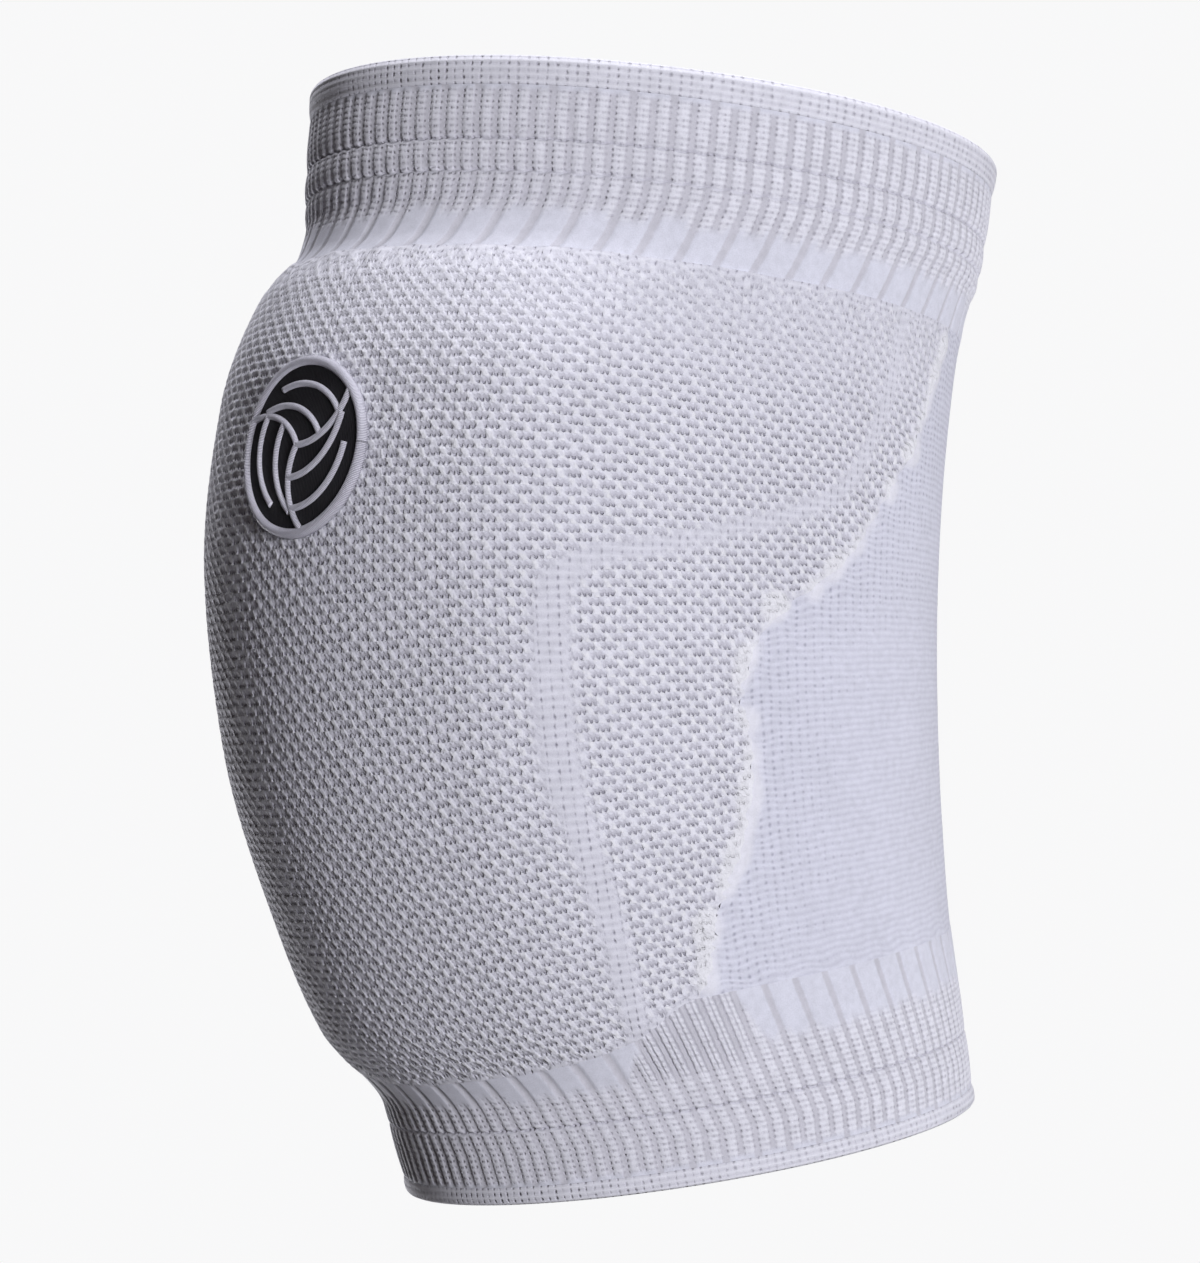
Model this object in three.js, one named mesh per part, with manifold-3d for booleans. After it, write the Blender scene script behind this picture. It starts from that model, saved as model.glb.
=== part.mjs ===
// A volleyball knee pad: a knitted sleeve for a slightly bent leg, with a thick foam pad over the kneecap.
// Millimetres. +Z runs up the thigh, -Y to the front of the knee and +X to the badge's side. The origin is
// on the leg's axis at the sleeve's mid height.
import * as THREE from 'three';
import { mergeVertices } from 'three/addons/utils/BufferGeometryUtils.js';
import Module from 'manifold-3d';

const wasm = await Module();
wasm.setup();

// Driving dimensions, in millimetres and degrees
const SLEEVE_LENGTH = 195; // along the leg from rim to rim
const LEG_RADIUS = 60; // half the sleeve's width at the knee
const PAD_RISE = 18.4; // how far the foam lifts the knit over the kneecap
const THIGH_LEAN = 7.2; // the thigh end leans back by this angle
const CALF_LEAN = 11.2; // and so does the calf end
const KNIT = 2; // thickness of the knitted wall
const GAP = 0.35; // left between neighbouring pieces
const RIB_COUNT = 110; // ribs around each cuff
const RIB_HEIGHT = 0.7; // from a rib's crest to the bottom of its valley
const TIER_STEP = 0.9; // how far one tier of a cuff stands over the next
const GROOVES = 55; // gathers around each yoke, one for every two ribs
const GROOVE_DEPTH = 0.9;
const GROOVE_SLANT = 4; // degrees that a gather leans along its yoke
const WELT_SWELL = 0.4; // how far a folded rim swells past the cuff
const FOAM_EDGE = 1.2; // thickness of the foam where it runs out
const FOAM_SLACK = 1.4; // between the foam and the knit drawn over it
const FOAM_HALF_ANGLE = 80; // the foam reaches this far round from the front
const BADGE_RADIUS = 17;
const BADGE_ANGLE = 6; // the badge sits this far round from the front
const BADGE_HEIGHT = 0.648; // and this far up the sleeve, as a share of its length
const BADGE_THICKNESS = 0.8;
const BADGE_RING = 2; // width of the satin ring round the badge
const BADGE_LINE = 1.3; // width of the satin lines across it

// Cross-sections from the calf rim up: half widths as shares of LEG_RADIUS, and the pad's share of PAD_RISE
const SECTIONS = [
  { at: 0, side: 0.908, front: 0.877, back: 0.938, rise: 0 },
  { at: 0.09, side: 0.925, front: 0.913, back: 0.94, rise: 0 },
  { at: 0.17, side: 0.94, front: 0.94, back: 0.94, rise: 0.45 },
  { at: 0.28, side: 0.962, front: 0.968, back: 0.957, rise: 0.7 },
  { at: 0.42, side: 0.985, front: 0.998, back: 0.98, rise: 0.935 },
  { at: 0.56, side: 1.003, front: 1.022, back: 0.995, rise: 1 },
  { at: 0.7, side: 1.02, front: 1.04, back: 1.005, rise: 0.837 },
  { at: 0.79, side: 1.032, front: 1.055, back: 1.015, rise: 0.495 },
  { at: 0.835, side: 1.042, front: 1.067, back: 1.03, rise: 0.1 },
  { at: 0.88, side: 1.052, front: 1.088, back: 1.068, rise: 0 },
  { at: 1, side: 1.062, front: 1.118, back: 1.105, rise: 0 },
];

// Borders between the knitted zones, as degrees round from the front, from the calf side up: the front
// mesh ends at panel, the plain band at band, and the outer mesh at seam, where the plain back begins
const BORDERS = [
  { at: 0.122, panel: 47, band: 52, seam: 61 },
  { at: 0.148, panel: 46.8, band: 51.8, seam: 63.5 },
  { at: 0.217, panel: 46, band: 51.2, seam: 66 },
  { at: 0.274, panel: 45, band: 50.5, seam: 69 },
  { at: 0.333, panel: 43, band: 48.8, seam: 74 },
  { at: 0.385, panel: 40.8, band: 47.5, seam: 76 },
  { at: 0.436, panel: 40.5, band: 47.2, seam: 74.5 },
  { at: 0.482, panel: 41, band: 47.2, seam: 78 },
  { at: 0.52, panel: 41.5, band: 47.5, seam: 85 },
  { at: 0.545, panel: 42.5, band: 50, seam: 92 },
  { at: 0.565, panel: 47, band: 64, seam: 97 },
  { at: 0.582, panel: 60, band: 76, seam: 100 },
  { at: 0.6, panel: 74, band: 88, seam: 103 },
  { at: 0.62, panel: 86, band: 96, seam: 106 },
  { at: 0.641, panel: 94, band: 100, seam: 109 },
  { at: 0.692, panel: 100.5, band: 105, seam: 116 },
  { at: 0.744, panel: 104, band: 108.5, seam: 120.5 },
  { at: 0.8, panel: 105.5, band: 109, seam: 125 },
  { at: 0.818, panel: 105.5, band: 109, seam: 126 },
];

// The zones' lower border climbs from under the kneecap to the sides, in shares of the sleeve's length
const CALF_BORDER = [
  { at: 0, climb: 0 },
  { at: 15, climb: 0.004 },
  { at: 35, climb: 0.011 },
  { at: 48, climb: 0.024 },
  { at: 61, climb: 0.055 },
  { at: 180, climb: 0.055 },
];
const PANEL_BOTTOM = BORDERS[0].at;
const PANEL_TOP = BORDERS[BORDERS.length - 1].at;
const CLIMB_END_SHARE = 0.3;

// Tiers of the two cuffs: how far each row's crests stand out, as a share of TIER_STEP. A tuck is where
// the upper tier drops back to the lower one
const TUCK_SHARE = 0.0012;
const THIGH_TIERS = [
  { at: 0.866, out: -0.5 },
  { at: 0.89, out: -0.3 },
  { at: 0.89 + TUCK_SHARE, out: 0.5 },
  { at: 0.921, out: -0.1 },
  { at: 0.921 + TUCK_SHARE, out: 0.5 },
  { at: 0.972, out: 0 },
];
const CALF_TIERS = [
  { at: 0.018, out: 0 },
  { at: 0.0735 - TUCK_SHARE, out: 0.5 },
  { at: 0.0735, out: -0.2 },
  { at: 0.0975, out: 0.2 },
];
const THIGH_WELT = { from: 0.972, to: 1 };
const CALF_WELT = { from: 0.018, to: 0 };

const GRID = {
  welt: 48,
  spine: 60,
  panelColumns: 20,
  bandColumns: 2,
  backColumns: 10,
  sideColumns: 3,
  foamColumns: 12,
  badgeSpokes: 30,
  badgeRings: 3,
  lineSteps: 6,
};

const radians = THREE.MathUtils.degToRad;
const lerp = THREE.MathUtils.lerp;
const smoothstep = THREE.MathUtils.smoothstep;

// A smooth curve through one column of a table, which never overshoots its rows.
function along(table, column, at) {
  const last = table.length - 2;
  const x = THREE.MathUtils.clamp(at, table[0].at, table[last + 1].at);
  let i = table.findIndex((row) => row.at > x) - 1;
  if (i < 0) i = last;
  const rise = (k) => (table[k + 1][column] - table[k][column]) / (table[k + 1].at - table[k].at);
  const slope = (k) => {
    if (k === 0) return rise(0);
    if (k === last + 1) return rise(last);
    const before = rise(k - 1);
    const after = rise(k);
    return before * after > 0 ? (2 * before * after) / (before + after) : 0;
  };
  const step = table[i + 1].at - table[i].at;
  const t = (x - table[i].at) / step;
  return (
    table[i][column] * (1 + 2 * t) * (1 - t) ** 2 +
    table[i + 1][column] * t * t * (3 - 2 * t) +
    step * t * (1 - t) * (slope(i) * (1 - t) - slope(i + 1) * t)
  );
}

// The leg's axis: a gentle bend in the YZ plane, straight towards both rims, centred on its middle.
const lean = (v) => radians(lerp(-CALF_LEAN, THIGH_LEAN, smoothstep(v, 0.1, 0.9)));
const spine = [new THREE.Vector3()];
for (let k = 0; k < GRID.spine; k += 1) {
  const phi = lean((k + 0.5) / GRID.spine);
  const step = new THREE.Vector3(0, Math.sin(phi), Math.cos(phi)).multiplyScalar(SLEEVE_LENGTH / GRID.spine);
  spine.push(spine[k].clone().add(step));
}
function axisPoint(v) {
  const k = Math.min(Math.floor(v * GRID.spine), GRID.spine - 1);
  return spine[k].clone().lerp(spine[k + 1], v * GRID.spine - k);
}
const middle = axisPoint(0.5);
spine.forEach((point) => point.sub(middle));

// A point of the sleeve: angle round from the front in radians, share of the length, depth under the
// outer face, and the share of the pad's rise that it takes.
function sleevePoint(angle, v, depth, riseShare = 1) {
  const side = LEG_RADIUS * along(SECTIONS, 'side', v) - depth;
  const reach = LEG_RADIUS * along(SECTIONS, Math.cos(angle) > 0 ? 'front' : 'back', v) - depth;
  const turn = Math.atan2(Math.sin(angle), Math.cos(angle));
  const crown = 1 - smoothstep(Math.abs(turn), 0.55, 1.45);
  const rise = PAD_RISE * along(SECTIONS, 'rise', v) * crown * riseShare;
  const out = new THREE.Vector2(Math.sin(angle) / side, -Math.cos(angle) / reach).normalize();
  const x = side * Math.sin(angle) + rise * out.x;
  const y = -reach * Math.cos(angle) + rise * out.y;
  const phi = lean(v);
  return axisPoint(v).add(new THREE.Vector3(x, y * Math.cos(phi), -y * Math.sin(phi)));
}

// The zones' heights before the lower border's climb, and the same after it.
function climbed(v, angle) {
  const turn = Math.abs(Math.atan2(Math.sin(angle), Math.cos(angle)));
  const climb = along(CALF_BORDER, 'climb', THREE.MathUtils.radToDeg(turn));
  return v + climb * (1 - smoothstep(v, PANEL_BOTTOM, CLIMB_END_SHARE));
}

function closedBody(points, index) {
  const geometry = new THREE.BufferGeometry();
  geometry.setAttribute('position', new THREE.Float32BufferAttribute(points.flatMap((p) => p.toArray()), 3));
  geometry.setIndex(index);
  return geometry;
}

// A ring-shaped body from a closed loop of rings of points. Neighbouring rings hold the same number of
// points, or one holds a whole number of times the other's.
function ringBody(rings) {
  const points = [];
  const index = [];
  const starts = rings.map((ring) => points.push(...ring) - ring.length);
  rings.forEach((ring, r) => {
    const other = (r + 1) % rings.length;
    const fineFirst = ring.length >= rings[other].length;
    const [fine, coarse] = fineFirst ? [r, other] : [other, r];
    const share = rings[fine].length / rings[coarse].length;
    const fineAt = (k) => starts[fine] + (k % rings[fine].length);
    const coarseAt = (k) => starts[coarse] + (k % rings[coarse].length);
    const face = (a, b, c) => index.push(...(fineFirst ? [a, b, c] : [a, c, b]));
    rings[coarse].forEach((_, k) => {
      const half = Math.ceil(share / 2);
      for (let j = 0; j < share; j += 1) {
        face(fineAt(k * share + j), fineAt(k * share + j + 1), coarseAt(j < half ? k : k + 1));
      }
      face(coarseAt(k + 1), coarseAt(k), fineAt(k * share + half));
    });
  });
  return closedBody(points, index);
}

function ringPoints(count, pointAt) {
  return Array.from({ length: count }, (_, k) => pointAt((2 * Math.PI * k) / count, k));
}

// A plate with an outer and an inner face, from a function of its column, its row and its face. Each cell
// is split across its shorter diagonal.
function plateBody(columns, rows, pointAt) {
  const points = [];
  const index = [];
  const wide = columns + 1;
  const layer = wide * (rows + 1);
  ['outer', 'inner'].forEach((face) => {
    for (let r = 0; r <= rows; r += 1) {
      for (let c = 0; c <= columns; c += 1) points.push(pointAt(c / columns, r / rows, face));
    }
  });
  const quad = (a, b, c, d) => {
    const shorter = points[a].distanceTo(points[c]) < points[b].distanceTo(points[d]);
    index.push(...(shorter ? [a, b, c, a, c, d] : [a, b, d, b, c, d]));
  };
  for (let r = 0; r < rows; r += 1) {
    for (let c = 0; c < columns; c += 1) {
      const a = r * wide + c;
      quad(a, a + 1, a + 1 + wide, a + wide);
      quad(layer + a, layer + a + wide, layer + a + 1 + wide, layer + a + 1);
    }
    const left = r * wide;
    const right = left + columns;
    quad(left, left + wide, left + wide + layer, left + layer);
    quad(right, right + layer, right + wide + layer, right + wide);
  }
  const top = rows * wide;
  for (let c = 0; c < columns; c += 1) {
    quad(c, c + layer, c + 1 + layer, c + 1);
    quad(top + c, top + c + 1, top + c + 1 + layer, top + c + layer);
  }
  return closedBody(points, index);
}

const kneePad = new THREE.Group();
function addPiece(name, geometry, color, roughness = 0.9) {
  const mesh = new THREE.Mesh(geometry, new THREE.MeshStandardMaterial({ color, roughness, metalness: 0 }));
  mesh.name = name;
  kneePad.add(mesh);
}

const seamV = GAP / 2 / SLEEVE_LENGTH; // half a gap along the leg
const seamAngle = GAP / 2 / LEG_RADIUS; // half a gap round the leg

// Ribbed cuffs: crest and valley take turns around, in tiers that step where a tuck was knitted in.
function cuffBody(tiers) {
  const first = tiers[0];
  const last = tiers[tiers.length - 1];
  const height = (row) => row.at + (row === first ? seamV : 0) - (row === last ? seamV : 0);
  const outer = tiers.map((row) =>
    ringPoints(2 * RIB_COUNT, (angle, k) =>
      sleevePoint(angle, height(row), (k % 2) * RIB_HEIGHT - row.out * TIER_STEP)));
  const inner = [last, first].map((row) =>
    ringPoints(RIB_COUNT / 2, (angle) => sleevePoint(angle, height(row), KNIT + RIB_HEIGHT / 2)));
  return ringBody([...outer, ...inner]);
}

// A folded rim: plain knit doubled over, a little thicker than the cuff, rounded at its open edge.
function weltBody({ from, to }) {
  const gap = Math.sign(to - from) * seamV;
  const profile = [
    { share: 0, depth: 0 },
    { share: 0.5, depth: -WELT_SWELL },
    { share: 0.88, depth: -WELT_SWELL / 2 },
    { share: 1, depth: KNIT / 2 },
    { share: 0.88, depth: KNIT + WELT_SWELL },
    { share: 0, depth: KNIT + WELT_SWELL },
  ];
  const rows = to > from ? profile : profile.reverse();
  return ringBody(rows.map(({ share, depth }) =>
    ringPoints(GRID.welt, (angle) => sleevePoint(angle, lerp(from + gap, to, share), depth))));
}

// Yokes: plain knit between a cuff and the zones, gathered into slanting grooves.
function yokeBody(bottomAt, topAt, slant) {
  const row = (t, groove, count, depth) =>
    ringPoints(count, (angle, k) => {
      const turned = angle + radians(slant) * (t - 0.5);
      const v = lerp(bottomAt(turned) + seamV, topAt(turned) - seamV, t);
      return sleevePoint(turned, v, depth + (k % 2) * groove);
    });
  return ringBody([
    row(0, GROOVE_DEPTH, 2 * GROOVES, 0),
    row(1, GROOVE_DEPTH / 2, 2 * GROOVES, 0),
    row(1, 0, GROOVES, KNIT),
    row(0, 0, GROOVES, KNIT),
  ]);
}

addPiece('thigh_welt', weltBody(THIGH_WELT), 0xd8d6e4);
addPiece('thigh_cuff', cuffBody(THIGH_TIERS), 0xcfcdd9);
addPiece('thigh_yoke', yokeBody(() => PANEL_TOP, () => THIGH_TIERS[0].at, GROOVE_SLANT), 0xd9d9e4);
addPiece('calf_yoke', yokeBody(() => CALF_TIERS[3].at, (a) => climbed(PANEL_BOTTOM, a), -GROOVE_SLANT), 0xd9d9e4);
addPiece('calf_cuff', cuffBody(CALF_TIERS), 0xcfcdd9);
addPiece('calf_welt', weltBody(CALF_WELT), 0xd8d6e4);

// A knitted zone between two borders, each a function of the row's height that gives an angle.
function zoneBody(columns, leftAt, rightAt) {
  return plateBody(columns, BORDERS.length - 1, (s, t, face) => {
    const row = BORDERS[Math.round(t * (BORDERS.length - 1))];
    const angle = lerp(leftAt(row) + seamAngle, rightAt(row) - seamAngle, s);
    const v = lerp(row.at + seamV, row.at - seamV, t);
    return sleevePoint(angle, climbed(v, angle), face === 'outer' ? 0 : KNIT);
  });
}
const border = (name) => (row) => radians(row[name]);
const mirrored = (name) => (row) => -radians(row[name]);
const round = (name) => (row) => 2 * Math.PI - radians(row[name]);

addPiece('knee_panel', zoneBody(GRID.panelColumns, mirrored('panel'), border('panel')), 0xdcdae6);
addPiece('side_band_left', zoneBody(GRID.bandColumns, border('panel'), border('band')), 0xe0dfea);
addPiece('side_band_right', zoneBody(GRID.bandColumns, mirrored('band'), mirrored('panel')), 0xe0dfea);
addPiece('side_panel_left', zoneBody(GRID.sideColumns, border('band'), border('seam')), 0xdcdae6);
addPiece('side_panel_right', zoneBody(GRID.sideColumns, mirrored('seam'), mirrored('band')), 0xdcdae6);
addPiece('back_panel', zoneBody(GRID.backColumns, border('seam'), round('seam')), 0xd9dae6);

// The foam pad: thick over the kneecap, running out to a thin edge just inside the zones' upper and lower
// borders. Its outer face follows the knit and its inner face follows the leg.
const foamRows = BORDERS.map((row) => row.at);
foamRows[0] += (2 * KNIT) / SLEEVE_LENGTH;
foamRows[foamRows.length - 1] -= KNIT / SLEEVE_LENGTH;
addPiece('foam_pad', plateBody(GRID.foamColumns, foamRows.length - 1, (s, t, face) => {
  const angle = radians(lerp(-FOAM_HALF_ANGLE, FOAM_HALF_ANGLE, s));
  const v = climbed(foamRows[Math.round(t * (foamRows.length - 1))], angle);
  const under = KNIT + FOAM_SLACK;
  return face === 'outer' ? sleevePoint(angle, v, under) : sleevePoint(angle, v, under + FOAM_EDGE, 0);
}), 0xd4d3dc, 0.95);

// The badge: an embroidered volleyball, a black disc with satin ring and seam lines sewn over it. Its
// points are laid out flat, in millimetres across and up from its middle.
const badgeSpan = 0.01; // a small step round and up, to measure how long the knit is there
const badgeAt = (turn, climb) => sleevePoint(radians(BADGE_ANGLE) + turn, BADGE_HEIGHT + climb, 0);
const lengthRound = badgeAt(-badgeSpan, 0).distanceTo(badgeAt(badgeSpan, 0)) / (2 * badgeSpan);
const lengthUp = badgeAt(0, -badgeSpan).distanceTo(badgeAt(0, badgeSpan)) / (2 * badgeSpan);
function badgePoint(x, y, out) {
  return sleevePoint(radians(BADGE_ANGLE) + x / lengthRound, BADGE_HEIGHT + y / lengthUp, -out);
}
const discFrom = GAP;
const discTo = discFrom + BADGE_THICKNESS;
const lineFrom = discTo + GAP;
const lineTo = lineFrom + BADGE_THICKNESS;

// A round plate from rings of points, closed by a fan at the middle of each face.
function discBody(radius, from, to) {
  const points = [badgePoint(0, 0, to)];
  const index = [];
  const spokes = GRID.badgeSpokes;
  const ring = (r, out) => {
    for (let k = 0; k < spokes; k += 1) {
      const a = (2 * Math.PI * k) / spokes;
      points.push(badgePoint(r * Math.cos(a), r * Math.sin(a), out));
    }
  };
  for (let n = 1; n <= GRID.badgeRings; n += 1) ring((radius * n) / GRID.badgeRings, to);
  for (let n = GRID.badgeRings; n >= 1; n -= 1) ring((radius * n) / GRID.badgeRings, from);
  const end = points.push(badgePoint(0, 0, from)) - 1;
  for (let k = 0; k < spokes; k += 1) {
    const next = (k + 1) % spokes;
    index.push(0, 1 + k, 1 + next);
    for (let n = 0; n < 2 * GRID.badgeRings - 1; n += 1) {
      const a = 1 + n * spokes;
      index.push(a + k, a + spokes + k, a + next, a + next, a + spokes + k, a + spokes + next);
    }
    const a = 1 + (2 * GRID.badgeRings - 1) * spokes;
    index.push(end, a + next, a + k);
  }
  return closedBody(points, index);
}
addPiece('badge_patch', discBody(BADGE_RADIUS - BADGE_RING / 2, discFrom, discTo), 0x0d0b10, 0.8);

// Seam lines of the ball: three curves sweep from the middle to the rim, and in each third two more run
// alongside the next curve from points part way along the first.
function sweep(third, t) {
  const turn = (2 * Math.PI * third) / 3 + 0.75 * t;
  return new THREE.Vector2(Math.cos(turn), Math.sin(turn)).multiplyScalar(t * BADGE_RADIUS);
}
const seams = [];
for (let third = 0; third < 3; third += 1) {
  for (const start of [0, 0.36, 0.68]) {
    const root = sweep(third, start);
    const pointAt = (t) => root.clone().add(sweep(third + 1, t));
    let reach = 1;
    while (pointAt(reach).length() > BADGE_RADIUS) reach -= 0.01;
    const columns = start === 0 ? GRID.lineSteps : GRID.lineSteps - 2;
    seams.push(plateBody(columns, 1, (s, side, face) => {
      const at = pointAt(reach * s);
      const ahead = pointAt(reach * s + 0.01).sub(at).normalize();
      const across = new THREE.Vector2(-ahead.y, ahead.x).multiplyScalar(BADGE_LINE * (side - 0.5));
      at.add(across);
      return badgePoint(at.x, at.y, face === 'outer' ? lineTo : lineFrom);
    }));
  }
}
const ringProfile = [
  { r: BADGE_RADIUS, out: lineTo },
  { r: BADGE_RADIUS - BADGE_RING, out: lineTo },
  { r: BADGE_RADIUS - BADGE_RING, out: lineFrom },
  { r: BADGE_RADIUS, out: lineFrom },
];
const rim = ringBody(ringProfile.map(({ r, out }) =>
  ringPoints(GRID.badgeSpokes, (a) => badgePoint(r * Math.cos(a), r * Math.sin(a), out))));

function solid(geometry) {
  const merged = mergeVertices(geometry);
  return new wasm.Manifold(new wasm.Mesh({
    numProp: 3,
    vertProperties: new Float32Array(merged.attributes.position.array),
    triVerts: new Uint32Array(merged.index.array),
  }));
}
function joined(geometries) {
  const mesh = geometries.map(solid).reduce((all, one) => all.add(one)).getMesh();
  const geometry = new THREE.BufferGeometry();
  geometry.setAttribute('position', new THREE.Float32BufferAttribute(mesh.vertProperties, 3));
  geometry.setIndex(Array.from(mesh.triVerts));
  return geometry;
}
addPiece('badge_seams', joined([rim, ...seams]), 0xe6e4f0, 0.6);

export default kneePad;
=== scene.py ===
from math import radians, sin, cos

import bmesh
import bpy
import numpy as np
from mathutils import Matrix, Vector


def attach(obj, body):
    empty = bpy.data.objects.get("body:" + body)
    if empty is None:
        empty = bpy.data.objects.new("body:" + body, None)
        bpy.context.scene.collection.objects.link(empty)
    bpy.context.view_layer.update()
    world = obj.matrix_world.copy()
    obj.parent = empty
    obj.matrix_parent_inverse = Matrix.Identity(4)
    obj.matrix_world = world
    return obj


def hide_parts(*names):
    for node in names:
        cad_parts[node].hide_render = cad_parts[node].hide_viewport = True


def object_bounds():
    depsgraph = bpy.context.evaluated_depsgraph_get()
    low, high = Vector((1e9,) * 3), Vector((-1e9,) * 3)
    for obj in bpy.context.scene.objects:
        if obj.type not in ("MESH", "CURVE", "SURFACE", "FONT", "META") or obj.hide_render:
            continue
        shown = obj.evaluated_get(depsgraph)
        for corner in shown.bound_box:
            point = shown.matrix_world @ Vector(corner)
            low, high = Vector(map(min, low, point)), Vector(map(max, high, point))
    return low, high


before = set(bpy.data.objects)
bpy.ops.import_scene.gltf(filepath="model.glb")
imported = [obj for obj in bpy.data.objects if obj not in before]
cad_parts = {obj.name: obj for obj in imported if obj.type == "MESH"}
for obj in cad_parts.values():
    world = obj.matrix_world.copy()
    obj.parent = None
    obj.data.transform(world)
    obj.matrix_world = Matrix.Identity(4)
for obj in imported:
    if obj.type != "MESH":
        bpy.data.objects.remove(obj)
cad_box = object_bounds()

# The camera. The knee pad is seen a little from below, level with the knee, from the side that the badge
# is turned to, through a long lens, so that both rims are nearly straight.
VIEW_AZIMUTH = radians(54.5)
VIEW_ELEVATION = radians(-3.0)
VIEW_DISTANCE = 1.287
VIEW_SCALE = 0.00019  # metres of the object to a pixel of the photograph, at the leg's axis
PHOTO_WIDTH, PHOTO_HEIGHT = 1200, 1263
AXIS_X, AXIS_Y = 623.7, 639.9  # where the photograph shows the frame's origin


def toward(azimuth, elevation):
    """Unit vector from the object to something at this azimuth (from -Y towards +X) and elevation."""
    return Vector((sin(azimuth) * cos(elevation), -cos(azimuth) * cos(elevation), sin(elevation)))


lens = bpy.data.cameras.new("camera")
lens.sensor_width = 36.0
lens.lens = lens.sensor_width * VIEW_DISTANCE / (VIEW_SCALE * PHOTO_HEIGHT)
lens.clip_start, lens.clip_end = 0.05, 20.0
camera = bpy.data.objects.new("camera", lens)
back = toward(VIEW_AZIMUTH, VIEW_ELEVATION)
turned = back.to_track_quat("Z", "Y")
aim = turned @ Vector((PHOTO_WIDTH / 2 - AXIS_X, AXIS_Y - PHOTO_HEIGHT / 2, 0)) * VIEW_SCALE
camera.location = aim + back * VIEW_DISTANCE
camera.rotation_euler = turned.to_euler()
bpy.context.scene.collection.objects.link(camera)
bpy.context.scene.camera = camera
bpy.context.scene.view_settings.view_transform = "Standard"

# The studio: a tall strip lamp level with the pad on the camera's right, soft ones behind it and overhead, so
# that the side and the back are evenly lit and the front of the knee falls into shade, a weaker one on the far
# side for its rim, and plain pale surroundings. The floor lies well below the pad, which is held up as on a leg.
LAMPS = {
    "side_lamp": {"azimuth": radians(76), "elevation": radians(-3), "wide": 0.3, "tall": 0.6, "watts": 17.8},
    "back_lamp": {"azimuth": radians(178), "elevation": radians(-10), "wide": 0.8, "tall": 0.8, "watts": 8.9},
    "top_lamp": {"azimuth": radians(270), "elevation": radians(86), "wide": 0.6, "tall": 0.6, "watts": 25},
    "rim_lamp": {"azimuth": radians(258), "elevation": radians(-15), "wide": 0.5, "tall": 0.8, "watts": 30},
}
LAMP_DISTANCE = 1.5
LAMP_COLOUR = (0.98, 0.98, 1.05)
SURROUND = (0.94, 0.94, 0.945)
AMBIENT = 0.035
AMBIENT_COLOUR = (1.0, 0.88, 0.87)
FLOOR_DROP = 0.30
FLOOR_RADIUS = 1.5

for name, lamp in LAMPS.items():
    light = bpy.data.lights.new(name, "AREA")
    light.shape, light.size, light.size_y = "RECTANGLE", lamp["wide"], lamp["tall"]
    light.energy, light.color = lamp["watts"], LAMP_COLOUR
    holder = bpy.data.objects.new(name, light)
    direction = toward(lamp["azimuth"], lamp["elevation"])
    holder.location = direction * LAMP_DISTANCE
    holder.rotation_euler = direction.to_track_quat("Z", "Y").to_euler()
    bpy.context.scene.collection.objects.link(holder)


def linear(code):
    """Linear colour with alpha from an sRGB hex code."""
    parts = np.array([int(code[i:i + 2], 16) for i in (1, 3, 5)]) / 255.0
    parts = np.where(parts <= 0.04045, parts / 12.92, ((parts + 0.055) / 1.055) ** 2.4)
    return (*parts.tolist(), 1.0)


def add(tree, kind, feeds=None, out=0, stops=None, **settings):
    """Adds one node. Feeds are sockets or values for its inputs by name or number, stops are the places
    and grey levels or colours of a ramp, and the rest are the node's own settings."""
    node = tree.nodes.new(kind)
    for key, value in settings.items():
        setattr(node, key, value)
    for key, feed in (feeds or {}).items():
        if isinstance(feed, bpy.types.NodeSocket):
            tree.links.new(feed, node.inputs[key])
        else:
            node.inputs[key].default_value = feed
    if stops:
        elements = node.color_ramp.elements
        while len(elements) < len(stops):
            elements.new(0.5)
        for element, (place, level) in zip(elements, stops):
            element.position = place
            element.color = level if isinstance(level, tuple) else (level, level, level, 1.0)
    return node.outputs[out]


world = bpy.data.worlds.new("studio")
bpy.context.scene.world = world
world.use_nodes = True
world.node_tree.nodes.clear()
seen = add(world.node_tree, "ShaderNodeBackground", {"Color": (*SURROUND, 1.0), "Strength": 1.0})
felt = add(world.node_tree, "ShaderNodeBackground", {"Color": (*AMBIENT_COLOUR, 1.0), "Strength": AMBIENT})
ray = add(world.node_tree, "ShaderNodeLightPath")
either = add(world.node_tree, "ShaderNodeMixShader", {0: ray, 1: felt, 2: seen})
add(world.node_tree, "ShaderNodeOutputWorld", {"Surface": either}, out=slice(0, 0))

paper = bpy.data.materials.new("matt_paper_floor")
paper.use_nodes = True
paper.node_tree.nodes["Principled BSDF"].inputs["Base Color"].default_value = (*SURROUND, 1.0)
paper.node_tree.nodes["Principled BSDF"].inputs["Roughness"].default_value = 0.95
rim = np.linspace(0, 2 * np.pi, 96, endpoint=False)
floor_mesh = bpy.data.meshes.new("floor")
floor_mesh.from_pydata(
    np.column_stack([FLOOR_RADIUS * np.cos(rim), FLOOR_RADIUS * np.sin(rim),
                     np.full(rim.size, cad_box[0][2] - FLOOR_DROP)]).tolist(), [], [list(range(rim.size))])
floor_mesh.materials.append(paper)
floor = bpy.data.objects.new("floor", floor_mesh)
bpy.context.scene.collection.objects.link(floor)
floor.visible_diffuse = False  # it lies too far below to throw light back up

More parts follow.
